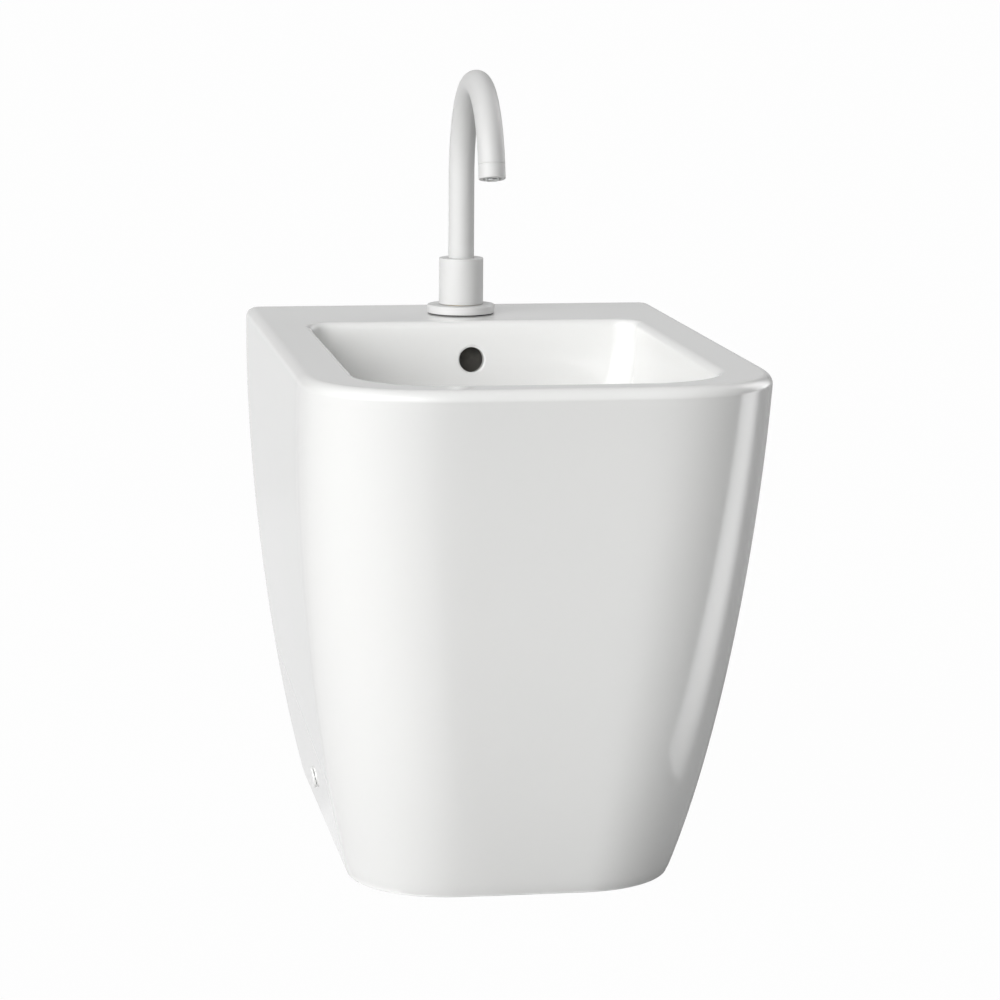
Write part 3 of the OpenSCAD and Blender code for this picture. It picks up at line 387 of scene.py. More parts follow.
def dressNodes():
    for row in frame["record"]["subparts"]:
        node = nodes[row["node"]]
        node.data.materials.clear()
        node.data.materials.append(finishes[row["material_slot"]])
        for face in node.data.polygons:
            face.use_smooth = True
        weld = node.modifiers.new("weld", "WELD")
        weld.merge_threshold = meshEdge["nodeWeld"]
        split = node.modifiers.new("crisp", "EDGE_SPLIT")
        split.split_angle = meshEdge["sharpAngle"]


dressNodes()
print("nodes dressed")


# ways to make a piece

def shadeSmooth(mesh):
    for face in mesh.polygons:
        face.use_smooth = True
    mesh.set_sharp_from_angle(angle=meshEdge["sharpAngle"])


def rank(elements, key):
    for index, item in enumerate(sorted(elements, key=key)):
        item.index = index
    elements.sort()


def keep(bm, name, finishList, body, replaced=()):
    # the order that Blender's operators leave changes from run to run, so the elements are ranked first
    rank(bm.verts, lambda vert: vert.co[:])
    for elements in (bm.edges, bm.faces):
        rank(elements, lambda item: sorted(vert.index for vert in item.verts))
    mesh = bpy.data.meshes.new(name)
    bm.to_mesh(mesh)
    bm.free()
    shadeSmooth(mesh)
    for finish in finishList:
        mesh.materials.append(finish)
    piece = bpy.data.objects.new(name, mesh)
    bpy.context.scene.collection.objects.link(piece)
    if body:
        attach(piece, body)
    if replaced:
        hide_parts(*replaced)
    return piece


def freshLoop(grown):
    # the vertices that an extrusion has made, and the edges between them
    fresh = {item for item in grown if isinstance(item, bmesh.types.BMVert)}
    edges = [
        item for item in grown
        if isinstance(item, bmesh.types.BMEdge) and item.verts[0] in fresh and item.verts[1] in fresh
    ]
    return fresh, edges


def growRings(rings, closed=False, capped=False, bareFrom=None):
    # extrudes the first ring through the others, in bare clay after ring number bareFrom
    bm = bmesh.new()
    order = bm.verts.layers.int.new("order")
    bmesh.ops.create_circle(bm, cap_ends=capped, segments=len(rings[0]), radius=1.0)
    bm.verts.ensure_lookup_table()
    for index, vert in enumerate(bm.verts):
        vert[order] = index
        vert.co = rings[0][index]
    edges = list(bm.edges)
    for index, ring in enumerate(rings[1:]):
        grown = bmesh.ops.extrude_edge_only(bm, edges=edges)["geom"]
        if bareFrom is not None and index >= bareFrom:
            for face in (item for item in grown if isinstance(item, bmesh.types.BMFace)):
                face.material_index = bareClay
        fresh, edges = freshLoop(grown)
        for vert in fresh:
            vert.co = ring[vert[order]]
    if capped:
        bmesh.ops.contextual_create(bm, geom=edges)
    if closed:
        bmesh.ops.remove_doubles(bm, verts=bm.verts, dist=meshEdge["merge"])
    bmesh.ops.recalc_face_normals(bm, faces=bm.faces)
    return bm


def softened(corners, steps=6):
    # corners are (radius, height, rounding) in metres, as an open chain
    chain = []
    for index, (radius, height, rounding) in enumerate(corners):
        here = Vector((radius, height))
        if rounding <= 0 or index in (0, len(corners) - 1):
            chain.append(here)
            continue
        before = Vector(corners[index - 1][:2]) - here
        after = Vector(corners[index + 1][:2]) - here
        halfTurn = before.angle(after) / 2
        reach = rounding / math.tan(halfTurn)
        start = here + before.normalized() * reach
        end = here + after.normalized() * reach
        inwards = (before.normalized() + after.normalized()).normalized()
        centre = here + inwards * (rounding / math.sin(halfTurn))
        first = start - centre
        sweep = first.angle_signed(end - centre)
        for step in range(steps + 1):
            angle = -sweep * step / steps
            chain.append(centre + Vector((
                first.x * math.cos(angle) - first.y * math.sin(angle),
                first.x * math.sin(angle) + first.y * math.cos(angle),
            )))
    return chain


def turned(corners, centre, segments, closed=True):
    # spins a chain of corners round an upright axis at centre
    bm = bmesh.new()
    verts = [bm.verts.new((centre[0] + point.x, centre[1], point.y)) for point in softened(corners)]
    pairs = list(zip(verts, verts[1:]))
    if closed:
        pairs.append((verts[-1], verts[0]))
    edges = [bm.edges.new(pair) for pair in pairs]
    bmesh.ops.spin(
        bm, geom=verts + edges, cent=(centre[0], centre[1], 0), axis=(0, 0, 1),
        angle=math.tau, steps=segments, use_merge=True, use_duplicate=False,
    )
    bmesh.ops.remove_doubles(bm, verts=bm.verts, dist=meshEdge["merge"])
    bmesh.ops.recalc_face_normals(bm, faces=bm.faces)
    return bm


def prism(outline, low, high, along):
    # extrudes an outline of (first, second) pairs along x or y
    bm = bmesh.new()
    if along == "x":
        corners = [(low, first, second) for first, second in outline]
        shift = (high - low, 0, 0)
    else:
        corners = [(first, low, second) for first, second in outline]
        shift = (0, high - low, 0)
    face = bm.faces.new([bm.verts.new(corner) for corner in corners])
    grown = bmesh.ops.extrude_face_region(bm, geom=[face])["geom"]
    fresh = [item for item in grown if isinstance(item, bmesh.types.BMVert)]
    bmesh.ops.translate(bm, vec=shift, verts=fresh)
    bmesh.ops.recalc_face_normals(bm, faces=bm.faces)
    return bm


def toolFrom(bm, name, finish=0):
    for face in bm.faces:
        face.material_index = finish
    return keep(bm, name, ceramicFinishes, None)


def carve(piece, tools, operation):
    for tool in tools:
        change = piece.modifiers.new("carve", "BOOLEAN")
        change.operation = operation
        change.solver = "EXACT"
        change.object = tool
    bpy.context.view_layer.update()
    evaluated = piece.evaluated_get(bpy.context.evaluated_depsgraph_get())
    carved = bpy.data.meshes.new_from_object(evaluated)
    piece.modifiers.clear()
    piece.data = carved
    for tool in tools:
        bpy.data.objects.remove(tool)


# the ceramic body: one skin from the foot over the rim, through the basin and back down inside

shell = {
    "halfRim": 0.180, "halfFoot": 0.130, "footDepth": 0.410,
    "rimCorner": 0.114, "footCorner": 0.082, "rearCorner": 0.005,
    "rimPower": 2.5, "footPower": 2.05, "rearPower": 2,
    "handleLow": 0.115, "handleHigh": 0.285,
    "sideLowOut": 0.031, "sideHighOut": 0.0015, "frontLowOut": 0.066, "frontHighIn": 0.040,
    "rimEdge": 0.008, "footEdge": 0.0015, "wall": 0.011, "deck": 0.012,
    "frontSteps": 40, "rearSteps": 18, "flareLevels": 60, "edgeLevels": 9, "innerLevels": 20,
    "held": 0.0004, "lastFlare": 0.998, "stretch": (0.01, 0.3, 0.7, 0.99),
}
basin = {
    "halfWidth": 0.138, "ledge": 0.127, "frontRim": 0.032, "depth": 0.128,
    "frontCorner": 0.068, "rearCorner": 0.018, "cornerPower": 2, "edge": 0.006,
    "fullness": 2.4, "swell": 0.024, "slack": 0.00001, "shellWall": 0.009,
    "drainSeat": 0.036, "levels": 48, "underLevels": 24, "underTurn": 88,
}
drain = {
    "fromWall": 0.265, "recess": 0.032, "recessDepth": 0.004, "hole": 0.023,
    "collar": 0.038, "collarDrop": 0.042, "roundSteps": 5,
    "rounds": (0.0012, 0.0008, 0.001, 0.0015, 0.002, 0.003),
}
tapHole = {"fromWall": 0.065, "radius": 0.0175, "above": 0.01, "below": 0.02, "segments": 96}
overflow = {
    "radius": 0.0105, "drop": 0.0325, "lip": 0.0016, "wallLean": 0.0011, "tilt": 6.0,
    "past": 0.006, "segments": 64,
}
duct = {
    "half": 0.015, "gap": 0.012, "headroom": 0.002, "bendRise": 0.010, "bendRun": 0.045,
    "innerRise": 0.006, "innerRun": 0.004,
}
rib = {
    "cover": 0.009, "top": 0.006, "front": 0.0045, "heelDrop": 0.005, "heelRun": 0.004, "floorDrop": 0.005,
    # (distance before the basin's rear, height over its floor), along the middle of the basin's wall
    "curve": (
        (0.088, -0.0045), (0.058, 0.001), (0.036, 0.013), (0.018, 0.032), (0.005, 0.058), (-0.002, 0.094),
    ),
}
opening = {
    "half": 0.105, "height": 0.330, "round": 0.040, "lip": 0.0025, "past": 0.004,
    "below": 0.01, "straight": 0.12, "cornerSteps": 16,
}
mouth = {"overshoot": 0.4, "steps": 6}
fixing = {
    "fromWall": 0.190, "height": 0.045, "padFace": 0.117, "padHalf": 0.035, "padFoot": 0.0005,
    "padTop": 0.064, "padLowThick": 0.007, "padHighThick": 0.026, "seatFace": 0.126,
    "screwHole": 0.004, "capHole": 0.0075, "past": 0.002, "outside": 0.170, "segments": 48,
}

basinRear = wallY - basin["ledge"]
basinFront = frontY + basin["frontRim"]
basinFloor = rimZ - basin["depth"]
basinUnder = basinFloor - basin["shellWall"]
drainY = wallY - drain["fromWall"]
drainLow = basinFloor - drain["collarDrop"]
tapY = wallY - tapHole["fromWall"]
fixingY = wallY - fixing["fromWall"]


def mixed(first, second, share):
    return first + (second - first) * share


def bezier(handles, share):
    rest = 1 - share
    a, b, c, d = handles
    return a * rest ** 3 + 3 * b * share * rest ** 2 + 3 * c * share ** 2 * rest + d * share ** 3


def quarter(centre, signs, radius, power, steps, back):
    # a corner between two straight sides, as a superellipse
    points = []
    for index in range(steps + 1):
        angle = math.radians(90 * (steps - index if back else index) / steps)
        across = abs(math.sin(angle)) ** (2 / power)
        along = abs(math.cos(angle)) ** (2 / power)
        points.append((centre[0] + signs[0] * radius * across, centre[1] + signs[1] * radius * along))
    return points


def planRing(half, front, rear, frontRound, rearRound, frontPower, rearPower, height):
    foreX, foreY = half - frontRound, front + frontRound
    rearX, rearY = half - rearRound, rear - rearRound
    fine, coarse = shell["frontSteps"], shell["rearSteps"]
    corners = [
        quarter((foreX, foreY), (1, -1), frontRound, frontPower, fine, False),
        quarter((rearX, rearY), (1, 1), rearRound, rearPower, coarse, True),
        quarter((-rearX, rearY), (-1, 1), rearRound, rearPower, coarse, False),
        quarter((-foreX, foreY), (-1, -1), frontRound, frontPower, fine, True),
    ]
    ring = []
    for index, corner in enumerate(corners):
        ring += corner
        end, start = corner[-1], corners[(index + 1) % 4][0]
        ring += [(mixed(end[0], start[0], s), mixed(end[1], start[1], s)) for s in shell["stretch"]]
    return [Vector((x, y, height)) for x, y in ring]


def outerRing(share, inset, height=None, rear=None):
    # share goes from 0 at the foot to 1 at the rim
    flareZ = (0, shell["handleLow"], shell["handleHigh"], rimZ - shell["rimEdge"])
    sides = (
        shell["halfFoot"], shell["halfFoot"] + shell["sideLowOut"],
        shell["halfRim"] + shell["sideHighOut"], shell["halfRim"],
    )
    nose = (
        wallY - shell["footDepth"], wallY - shell["footDepth"] - shell["frontLowOut"],
        frontY + shell["frontHighIn"], frontY,
    )
    return planRing(
        bezier(sides, share) - inset,
        bezier(nose, share) + inset,
        wallY if rear is None else rear,
        mixed(shell["footCorner"], shell["rimCorner"], 1 - (1 - share) ** 2) - inset,
        shell["rearCorner"],
        mixed(shell["footPower"], shell["rimPower"], share),
        shell["rearPower"],
        bezier(flareZ, share) if height is None else height,
    )


def basinRing(share, out, height):
    # share goes from 0 at the drain's seat to 1 at the rim
    seat, power = basin["drainSeat"], basin["cornerPower"]
    bulge = 4 * basin["swell"] * share * (1 - share)
    return planRing(
        mixed(seat, basin["halfWidth"], share) + out,
        mixed(drainY - seat, basinFront, share) - out,
        mixed(drainY + seat, basinRear, share) + out,
        mixed(seat, basin["frontCorner"], share) + bulge + out - basin["slack"],
        mixed(seat, basin["rearCorner"], share) + bulge + out - basin["slack"],
        power,
        power,
        height,
    )


def basinWall(degrees, out, low):
    share = math.cos(math.radians(degrees)) ** (2 / basin["fullness"])
    depth = math.sin(math.radians(degrees)) ** (2 / basin["fullness"])
    return basinRing(share, out, low + (rimZ - basin["edge"] - low) * (1 - depth))


def skinRings():
    edge, foot, lip = shell["rimEdge"], shell["footEdge"], basin["edge"]
    steps, flares, levels = shell["edgeLevels"], shell["flareLevels"], basin["levels"]
    rise = [math.radians(90 * index / steps) for index in range(steps + 1)]
    rings = [outerRing(0, foot * (1 - math.sin(a)), foot * (1 - math.cos(a))) for a in rise]
    rings += [outerRing(index / flares, 0) for index in range(1, flares)]
    rings.append(outerRing(shell["lastFlare"], 0))
    for a in rise:
        rings.append(outerRing(1, edge * (1 - math.cos(a)), rimZ - edge * (1 - math.sin(a))))
    rings.append(outerRing(1, edge + shell["held"], rimZ))
    rings.append(basinRing(1, lip + shell["held"], rimZ))
    for a in reversed(rise):
        rings.append(basinRing(1, lip * (1 - math.cos(a)), rimZ - lip * (1 - math.sin(a))))
    rings += [basinWall(90 * index / levels, 0, basinFloor) for index in range(1, levels + 1)]
    return rings


def drainRings():
    # down into the flange's recess, through the drain's collar and out round it
    seat, recess, hole, collar = basin["drainSeat"], drain["recess"], drain["hole"], drain["collar"]
    recessZ = basinFloor - drain["recessDepth"]
    turns = (
        (recess, basinFloor), (recess, recessZ), (hole, recessZ),
        (hole, drainLow), (collar, drainLow), (collar, basinUnder),
    )
    corners = [(seat, basinFloor, 0)]
    corners += [(radius, z, rounding) for (radius, z), rounding in zip(turns, drain["rounds"])]
    corners.append((seat + basin["shellWall"], basinUnder, 0))
    chain = softened(corners, drain["roundSteps"])[1:]
    return [basinRing(0, point.x - seat, point.y) for point in chain]


def innerRings():
    wall, thick = shell["wall"], basin["shellWall"]
    deckZ = rimZ - shell["deck"]
    unders, levels = basin["underLevels"], shell["innerLevels"]
    rings = [
        basinWall(90 - basin["underTurn"] * index / unders, thick, basinUnder)
        for index in range(1, unders + 1)
    ]
    rings.append(basinRing(1, thick, deckZ))
    rings.append(outerRing(1, wall, deckZ, wallY - wall))
    for index in range(1, levels + 1):
        rings.append(outerRing(1 - index / levels, wall, None, wallY - wall))
    return rings


def circleRing(centre, radius, around, segments):
    # a ring round the y axis or the x axis
    points = []
    for index in range(segments):
        angle = math.tau * index / segments
        u, v = radius * math.cos(angle), radius * math.sin(angle)
        points.append(centre + (Vector((u, 0, v)) if around == "y" else Vector((0, u, v))))
    return points


def openingRing(grow, depthY):
    half, top, corner = opening["half"] + grow, opening["height"] + grow, opening["round"] + grow
    low, straight, steps = -opening["below"], opening["straight"], opening["cornerSteps"]
    points = [Vector((half, depthY, low)), Vector((half, depthY, straight))]
    for side in (1, -1):
        for index in range(steps + 1):
            angle = math.radians(90 * (index if side > 0 else steps - index) / steps)
            x = side * (half - corner + corner * math.cos(angle))
            points.append(Vector((x, depthY, top - corner + corner * math.sin(angle))))
    return points + [Vector((-half, depthY, straight)), Vector((-half, depthY, low))]


def flared(reach):
    # (grow, depth) pairs of a quarter round mouth, from outside inwards
    pairs = [(reach * (1 + mouth["overshoot"]), -reach * mouth["overshoot"])]
    for index in range(mouth["steps"] + 1):
        angle = math.radians(90 * index / mouth["steps"])
        pairs.append((reach * (1 - math.sin(angle)), reach * (1 - math.cos(angle))))
    return pairs


def openingTool():
    rings = [openingRing(grow, wallY - depth) for grow, depth in flared(opening["lip"])]
    rings.append(openingRing(0, wallY - shell["wall"] - opening["past"]))
    return toolFrom(growRings(rings, capped=True), "openingCut")


def overflowTool():
    holeY = basinRear - overflow["wallLean"]
    holeZ = rimZ - overflow["drop"]
    pairs = flared(overflow["lip"]) + [(0, basin["shellWall"] + overflow["past"])]
    hole = growRings([
        circleRing(Vector((0, holeY + depth, holeZ)), overflow["radius"] + grow, "y", overflow["segments"])
        for grow, depth in pairs
    ], capped=True)
    tilt = Matrix.Rotation(math.radians(-overflow["tilt"]), 3, "X")
    bmesh.ops.rotate(hole, cent=(0, holeY, holeZ), matrix=tilt, verts=hole.verts)
    return toolFrom(hole, "overflowCut")


def tapHoleTool():
    radius, high, low = tapHole["radius"], rimZ + tapHole["above"], rimZ - tapHole["below"]
    corners = [(0, high, 0), (radius, high, 0), (radius, low, 0), (0, low, 0)]
    return toolFrom(turned(corners, (0, tapY), tapHole["segments"], False), "tapCut")


def screwTool(side):
    stages = (
        (fixing["padFace"] - fixing["past"], fixing["screwHole"]),
        (fixing["seatFace"], fixing["screwHole"]),
        (fixing["seatFace"], fixing["capHole"]),
        (fixing["outside"], fixing["capHole"]),
    )
    rings = [
        circleRing(Vector((side * x, fixingY, fixing["height"])), radius, "x", fixing["segments"])
        for x, radius in stages
    ]
    return toolFrom(growRings(rings, capped=True), "screwCut")


def padTool(side):
    face, foot, top = fixing["padFace"], fixing["padFoot"], fixing["padTop"]
    outline = [(side * x, z) for x, z in (
        (face, foot), (face + fixing["padLowThick"], foot), (face + fixing["padHighThick"], top), (face, top),
    )]
    pad = prism(outline, fixingY - fixing["padHalf"], fixingY + fixing["padHalf"], "y")
    return toolFrom(pad, "padAdd", bareClay)


def ductTools():
    # the rib that carries the overflow's duct, and the duct that is cut from it
    thick, gap = basin["shellWall"], duct["gap"]
    frontFace = basinRear + thick
    rearFace = frontFace + gap
    turnZ = basinFloor + duct["bendRise"]
    turnY = rearFace - duct["bendRun"]
    topZ = rimZ - overflow["drop"] + overflow["radius"] + duct["headroom"]
    lowZ = drainLow + thick
    path = [
        (frontFace, topZ), (rearFace, topZ), (rearFace, turnZ), (turnY, lowZ),
        (drainY, lowZ), (drainY, lowZ + gap),
        (turnY - duct["innerRun"], lowZ + gap), (frontFace, turnZ + duct["innerRise"]),
    ]
    ribTop, ribRear = rimZ - rib["top"], rearFace + thick
    outline = [
        (basinRear + rib["front"], ribTop), (ribRear, ribTop), (ribRear, turnZ - rib["heelDrop"]),
        (turnY + rib["heelRun"], drainLow), (drainY, drainLow), (drainY, basinFloor - rib["floorDrop"]),
    ]
    outline += [(basinRear - before, basinFloor + rise) for before, rise in rib["curve"]]
    half = duct["half"]
    ribHalf = half + rib["cover"]
    return (
        toolFrom(prism(outline, -ribHalf, ribHalf, "x"), "ribAdd", bareClay),
        toolFrom(prism(path, -half, half, "x"), "ductCut", paintedShadeInside),
    )


def makeCeramic():
    glazed = skinRings() + drainRings()
    rings = glazed + innerRings()
    rings.append([point.copy() for point in rings[0]])
    grown = growRings(rings, closed=True, bareFrom=len(glazed) - 1)
    body = keep(grown, "ceramicShell", ceramicFinishes, None)
    ribAdd, ductCut = ductTools()
    carve(body, [ribAdd, padTool(1), padTool(-1)], "UNION")
    cuts = [openingTool(), overflowTool(), tapHoleTool(), screwTool(1), screwTool(-1), ductCut]
    carve(body, cuts, "DIFFERENCE")
    shadeSmooth(body.data)
    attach(body, "base")
    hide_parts("ceramic_pedestal", "ceramic_rim", "ceramic_basin")
    return body


ceramic = makeCeramic()
print("ceramic body made:", len(ceramic.data.polygons), "faces")


# the tap: heights are over the rim, and the nozzle's are over its own mouth

tap = {"tube": 0.011, "joint": 0.00035, "segments": 160}
flange = {"radius": 0.029, "bore": 0.0141, "base": 0.001, "top": 0.008, "round": 0.0012, "footRound": 0.0003}


def makeFlange():
    outer, bore, low, high = flange["radius"], flange["bore"], rimZ + flange["base"], rimZ + flange["top"]
    bm = turned([
        (bore, low, 0), (outer, low, flange["footRound"]), (outer, high, flange["round"]), (bore, high, 0),
    ], (0, tapY), tap["segments"])
    keep(bm, "tapFlangeRing", [finishes["tap_white"]], "base", ["tap_flange"])


collar = {
    "radius": 0.019, "footBore": 0.0171, "bore": 0.0151, "topBore": 0.0113, "base": 0.0084, "top": 0.048,
    "topWall": 0.004, "footStep": 0.0036, "round": 0.0009, "footRound": 0.0005, "boreRound": 0.0003,
}


def makeCollar():
    outer, low, high = collar["radius"], rimZ + collar["base"], rimZ + collar["top"]
    stepZ, wallZ = low + collar["footStep"], high - collar["topWall"]
    bm = turned([
        (collar["footBore"], low, 0), (outer, low, collar["footRound"]), (outer, high, collar["round"]),
        (collar["topBore"], high, collar["boreRound"]), (collar["topBore"], wallZ, 0),
        (collar["bore"], wallZ, 0), (collar["bore"], stepZ, 0), (collar["footBore"], stepZ, 0),
    ], (0, tapY), tap["segments"])
    keep(bm, "controlSleeve", [finishes["tap_white"]], "control", ["control_collar"])


neck = {
    "bore": 0.0095, "base": 0.041, "bend": 0.118, "bendRadius": 0.083, "turn": 165.0,
    "segments": 96, "bendSteps": 120, "bevelSegments": 3,
}
bendY = tapY - neck["bendRadius"]
bendZ = rimZ + neck["bend"]


def makeSwanNeck():
    bm = bmesh.new()
    for radius in (tap["tube"], neck["bore"]):
        bmesh.ops.create_circle(bm, segments=neck["segments"], radius=radius)
    bmesh.ops.translate(bm, vec=(0, tapY, rimZ + neck["base"]), verts=bm.verts)
    start = list(bm.edges)
    fresh, top = freshLoop(bmesh.ops.extrude_edge_only(bm, edges=start)["geom"])
    bmesh.ops.translate(bm, vec=(0, 0, neck["bend"] - neck["base"]), verts=list(fresh))
    made = bmesh.ops.spin(
        bm, geom=list(fresh) + top, cent=(0, bendY, bendZ), axis=(1, 0, 0),
        angle=math.radians(neck["turn"]), steps=neck["bendSteps"], use_merge=False, use_duplicate=False,
    )
    ends = [item for item in made["geom_last"] if isinstance(item, bmesh.types.BMEdge)]
    bmesh.ops.bridge_loops(bm, edges=ends)
    bmesh.ops.bridge_loops(bm, edges=start)
    # only the outer circle's edges are longer than the middle of the two circles'
    middleEdge = math.pi * (tap["tube"] + neck["bore"]) / neck["segments"]
    rimEdges = [edge for edge in ends if edge.calc_length() > middleEdge]
    bmesh.ops.bevel(
        bm, geom=rimEdges, offset=tap["joint"], offset_type="OFFSET", affect="EDGES",
        segments=neck["bevelSegments"], profile=0.5, material=-1,
    )
    bmesh.ops.remove_doubles(bm, verts=bm.verts, dist=meshEdge["merge"])
    bmesh.ops.recalc_face_normals(bm, faces=bm.faces)
    keep(bm, "swanNeckTube", [finishes["tap_white"]], "spout", ["spout_tube"])


nozzle = {
    "length": 0.012, "bore": 0.0092, "boreFoot": 0.009, "boreTop": 0.0118, "throat": 0.0086,
    "throatTop": 0.005, "mouth": 0.0076, "mouthTop": 0.0015,
    "lipRound": 0.0007, "mouthRound": 0.0005, "throatRound": 0.0003,
}
ball = {
    "radius": 0.0072, "centre": 0.005, "halfArc": 50, "steps": 24, "segments": 96,
    "bore": 0.0046, "skirt": 0.0056, "skirtFoot": -0.0012, "skirtRound": 0.0004, "skirtGap": 0.0002,
}


def nozzlePlace():
    return (
        Matrix.Translation((0, bendY, bendZ))
        @ Matrix.Rotation(math.radians(neck["turn"] - 180), 4, "X")
        @ Matrix.Translation((0, -neck["bendRadius"], -nozzle["length"]))
    )


def makeHousing():
    outer = tap["tube"]
    bm = turned([
        (nozzle["bore"], nozzle["boreTop"], 0), (outer, nozzle["length"], tap["joint"]),
        (outer, 0, nozzle["lipRound"]), (nozzle["mouth"], 0, nozzle["mouthRound"]),
        (nozzle["mouth"], nozzle["mouthTop"], nozzle["throatRound"]),
        (nozzle["throat"], nozzle["throatTop"], 0), (nozzle["bore"], nozzle["boreFoot"], 0),
    ], (0, 0), tap["segments"])
    bmesh.ops.transform(bm, matrix=nozzlePlace(), verts=bm.verts)
    keep(bm, "nozzleHousing", [finishes["tap_white"]], "spout", ["nozzle_housing"])


def makeBall():
    arc = []
    for index in range(ball["steps"] + 1):
        angle = math.radians(mixed(-ball["halfArc"], ball["halfArc"], index / ball["steps"]))
        x, z = ball["radius"] * math.cos(angle), ball["centre"] + ball["radius"] * math.sin(angle)
        arc.append((x, z, 0))
    skirt = [
        (ball["bore"], ball["skirtFoot"], 0), (ball["skirt"], ball["skirtFoot"], ball["skirtRound"]),
        (ball["skirt"], arc[0][1] - ball["skirtGap"], 0),
    ]
    bm = turned(skirt + arc + [(ball["bore"], arc[-1][1], 0)], (0, 0), ball["segments"])
    bmesh.ops.transform(bm, matrix=nozzlePlace(), verts=bm.verts)
    keep(bm, "nozzleBall", [finishes["chrome"]], "nozzle", ["nozzle_ball"])


spring = {"wire": 0.00045, "turns": 6, "steps": 40, "segments": 14}


def makeSpring():
    # wound below the plug's stem; the squeeze from the plug's travel is worked out but not applied
    low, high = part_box("click_spring")
    wire = spring["wire"]
    steps = spring["turns"] * spring["steps"]
    rise = high.z - low.z - 2 * wire
    middle = ((low.x + high.x) / 2, (low.y + high.y) / 2, 0)
    bm = bmesh.new()
    bmesh.ops.create_circle(bm, segments=spring["segments"], radius=wire)
    upright = Matrix.Rotation(math.radians(90), 3, "X")
    bmesh.ops.rotate(bm, verts=bm.verts, cent=(0, 0, 0), matrix=upright)
    bmesh.ops.translate(bm, verts=bm.verts, vec=(high.x - wire, middle[1], low.z + wire))
    bmesh.ops.spin(
        bm, geom=list(bm.verts) + list(bm.edges), cent=middle, axis=(0, 0, 1), dvec=(0, 0, rise / steps),
        angle=math.radians(360 * spring["turns"]), steps=steps,
    )
    bmesh.ops.holes_fill(bm, edges=[edge for edge in bm.edges if edge.is_boundary], sides=0)
    bmesh.ops.recalc_face_normals(bm, faces=bm.faces)
    wound = keep(bm, "plugSpring", [finishes["steel"]], "base", ["click_spring"])
    slide = next(joint for joint in frame["joints"] if joint["name"] == "plug_slide")
    travel = max(abs(limit) for limit in slide["range_m"])
    1 - travel / (high.z - low.z)
    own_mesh(wound)


makeFlange()
makeCollar()
makeSwanNeck()
makeHousing()
makeBall()
makeSpring()
print("tap and spring made")


# the studio: azimuths are in degrees from the front, positive to the right as the object is faced,
# and the four numbers of a window are where it starts, is full, begins to fade and ends

floor = {
    "half": 60.0, "drop": 0.0002, "colour": rgba(0.45, 0.45, 0.45), "whiteShare": 0.98,
    # how much of the white floor a shiny surface shows, more towards the left
    "mirrored": 0.10,
    "brighter": (
        {"azimuth": (-181, -180, -14, -6), "by": 0.62},
        {"azimuth": (-142, -132, -14, -6), "by": 0.14},
    ),
}
studio = {
    "left": {"azimuth": (-92, -60, -34, 12), "height": (-16, -8, 28, 56), "strength": 5.55},
    "right": {"azimuth": (90, 114, 120, 155), "height": (-16, -8, 28, 56), "strength": 3.2},
    "rear": {"azimuth": (140, 168, 181, 182), "height": (-16, -8, 45, 60), "strength": 0.60},
    "above": {"azimuth": (90, 120, 181, 182), "height": (45, 60, 91, 92), "strength": 0.8},
}
inMirror = {"dimmest": 0.30, "brightest": 3.0}
cards = {
    "streakCard": {
        "foot": (0.235, -0.150, 0.0), "head": (0.32, -0.221, 0.40), "side": (0, 1, 0), "wide": 0.130,
        "radiance": 3.0, "across": (0.0, 0.2, 0.45, 1.0), "along": (-0.35, 0.5, 1.0, 1.01),
        "mirrored": True,
    },
    "rearCard": {
        "foot": (0, 1.7, 0.25), "head": (0, 1.7, 0.85), "side": (-1, 0, 0), "wide": 1.4,
        "radiance": 3.2, "across": (0.0, 0.3, 0.7, 1.0), "along": (0.0, 0.7, 1.0, 1.01),
        "mirrored": False,
    },
}
white = rgba(1, 1, 1)


def bearing(graph, x, y):
    return graph.maths("ARCTAN2", x, 0 - y) * (180 / math.pi)


def window(graph, value, limits):
    start, full, fading, end = limits
    return graph.between(value, start, full) * graph.between(value, fading, end, 1.0, 0.0)


def makeFloor():
    bm = bmesh.new()
    bmesh.ops.create_grid(bm, x_segments=1, y_segments=1, size=floor["half"])
    bmesh.ops.translate(bm, vec=(0, 0, -floor["drop"]), verts=bm.verts)
    finish, graph = newFinish("paleFloor")
    x, y = graph.parts(graph.place())[:2]
    azimuth = bearing(graph, x, y)
    mirrored = floor["mirrored"]
    for side in floor["brighter"]:
        mirrored = window(graph, azimuth, side["azimuth"]) * side["by"] + mirrored
    seen = graph.node("ShaderNodeLightPath", None, None, "Is Camera Ray")
    glossy = graph.other(seen, "Is Glossy Ray")
    cleared = graph.other(seen, "Is Transmission Ray")
    plain = graph.node("ShaderNodeBsdfDiffuse", None, {0: floor["colour"]})
    glowing = graph.node("ShaderNodeEmission", None, {0: white, 1: 1.0})
    share = (seen + glossy * mirrored + cleared) * floor["whiteShare"]
    shader = graph.node("ShaderNodeMixShader", None, {0: share, 1: plain, 2: glowing})
    graph.node("ShaderNodeOutputMaterial", None, {0: shader})
    plane = keep(bm, "paleFloor", [finish], None)


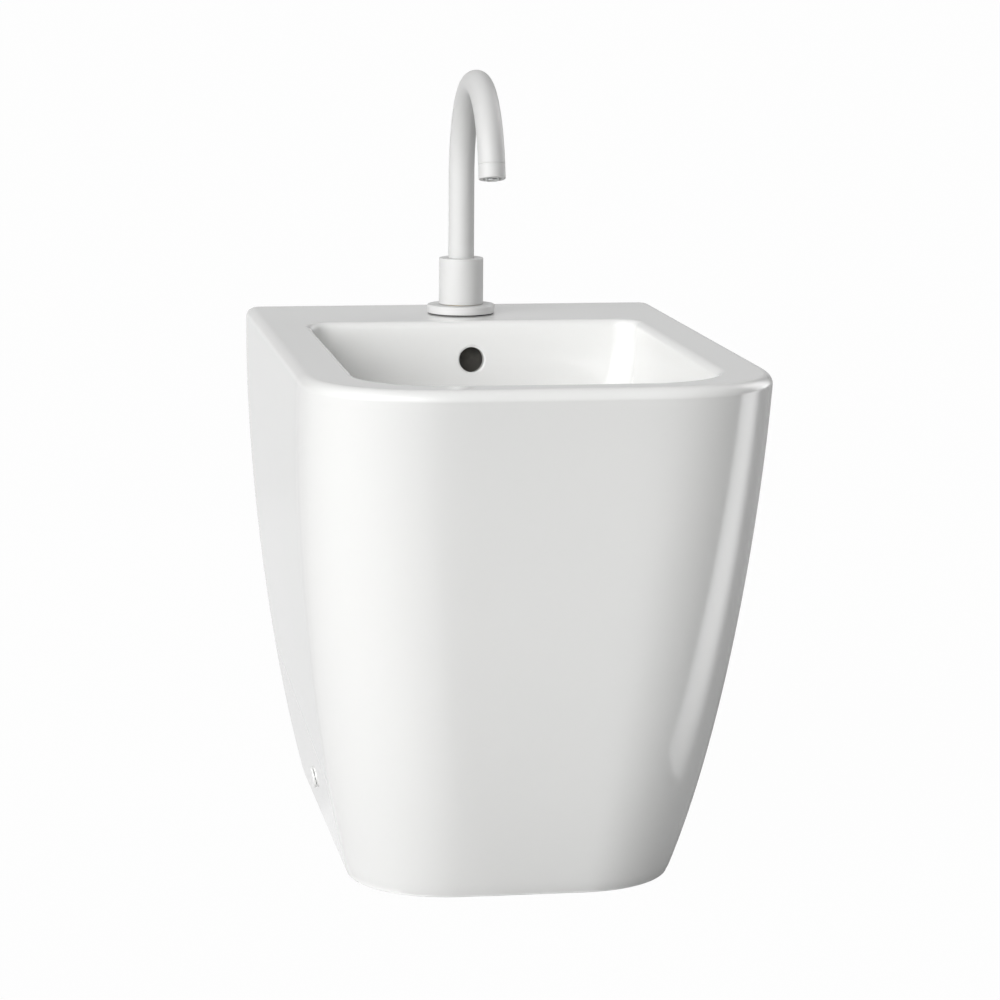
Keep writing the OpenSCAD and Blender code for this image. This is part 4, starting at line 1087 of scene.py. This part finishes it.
def makeSky():
    world = bpy.data.worlds.new("studio")
    bpy.context.scene.world = world
    world.use_nodes = True
    sky = Graph(world.node_tree)
    x, y, z = sky.parts(sky.node("ShaderNodeTexCoord", None, None, "Generated"))
    azimuth = bearing(sky, x, y)
    eitherSide = sky.maths("ABSOLUTE", azimuth)
    around = {"left": azimuth, "right": azimuth, "rear": eitherSide, "above": eitherSide}
    height = sky.maths("ARCSINE", z) * (180 / math.pi)
    light = 0
    for name, lamp in studio.items():
        shape = window(sky, around[name], lamp["azimuth"]) * window(sky, height, lamp["height"])
        light = shape * lamp["strength"] + light
    dimmed = sky.maths("MINIMUM", light, inMirror["brightest"])
    toned = sky.maths("MAXIMUM", dimmed, inMirror["dimmest"])
    seen = sky.node("ShaderNodeLightPath", None, None, "Is Camera Ray")
    glossy = sky.other(seen, "Is Glossy Ray")
    strength = light * (1 - seen - glossy) + toned * glossy + seen
    glow = sky.node("ShaderNodeBackground", None, {0: white, 1: strength})
    sky.node("ShaderNodeOutputWorld", None, {0: glow})


def makeCards():
    # a card that shows only as a reflection, and one that lights the back and its opening
    for name, row in cards.items():
        foot, head = Vector(row["foot"]), Vector(row["head"])
        up = (head - foot).normalized()
        away = Vector(row["side"]).cross(up).normalized()
        data = bpy.data.lights.new(name, "AREA")
        data.shape = "RECTANGLE"
        data.size = row["wide"]
        data.size_y = (head - foot).length
        data.energy = row["radiance"] * math.pi * data.size * data.size_y
        data.use_nodes = True
        glow = Graph(data.node_tree)
        u, v = glow.parts(glow.node("ShaderNodeNewGeometry", None, None, "Parametric"))[:2]
        soft = window(glow, u, row["across"]) * window(glow, v, row["along"])
        light = glow.node("ShaderNodeEmission", None, {0: white, 1: soft})
        glow.node("ShaderNodeOutputLight", None, {0: light})
        card = bpy.data.objects.new(name, data)
        bpy.context.scene.collection.objects.link(card)
        turn = Matrix((up.cross(away), up, away)).transposed().to_4x4()
        card.matrix_world = Matrix.Translation((foot + head) / 2) @ turn
        card.visible_camera = False
        card.visible_diffuse = not row["mirrored"]
        card.visible_glossy = row["mirrored"]


# metres, degrees, and millimetres for the lens and sensor
camera = {
    "place": (-0.4435, -2.7363, 0.7659), "yaw": 9.23, "pitch": 9.70, "roll": 0.4,
    "lens": 125.1, "sensor": 36.0,
}


def makeCamera():
    data = bpy.data.cameras.new("view")
    data.lens = camera["lens"]
    data.sensor_width = camera["sensor"]
    view = bpy.data.objects.new("view", data)
    bpy.context.scene.collection.objects.link(view)
    yaw, pitch, roll = (math.radians(camera[key]) for key in ("yaw", "pitch", "roll"))
    level = math.cos(pitch)
    ahead = Vector((math.sin(yaw) * level, math.cos(yaw) * level, -math.sin(pitch)))
    right = Vector((math.cos(yaw), -math.sin(yaw), 0))
    up = right.cross(ahead)
    tiltedRight = right * math.cos(roll) + up * math.sin(roll)
    tiltedUp = up * math.cos(roll) - right * math.sin(roll)
    turn = Matrix((tiltedRight, tiltedUp, -ahead)).transposed().to_4x4()
    view.matrix_world = Matrix.Translation(camera["place"]) @ turn
    bpy.context.scene.camera = view


makeFloor()
makeSky()
makeCards()
makeCamera()
bpy.context.scene.view_settings.view_transform = "Standard"
print("studio made")
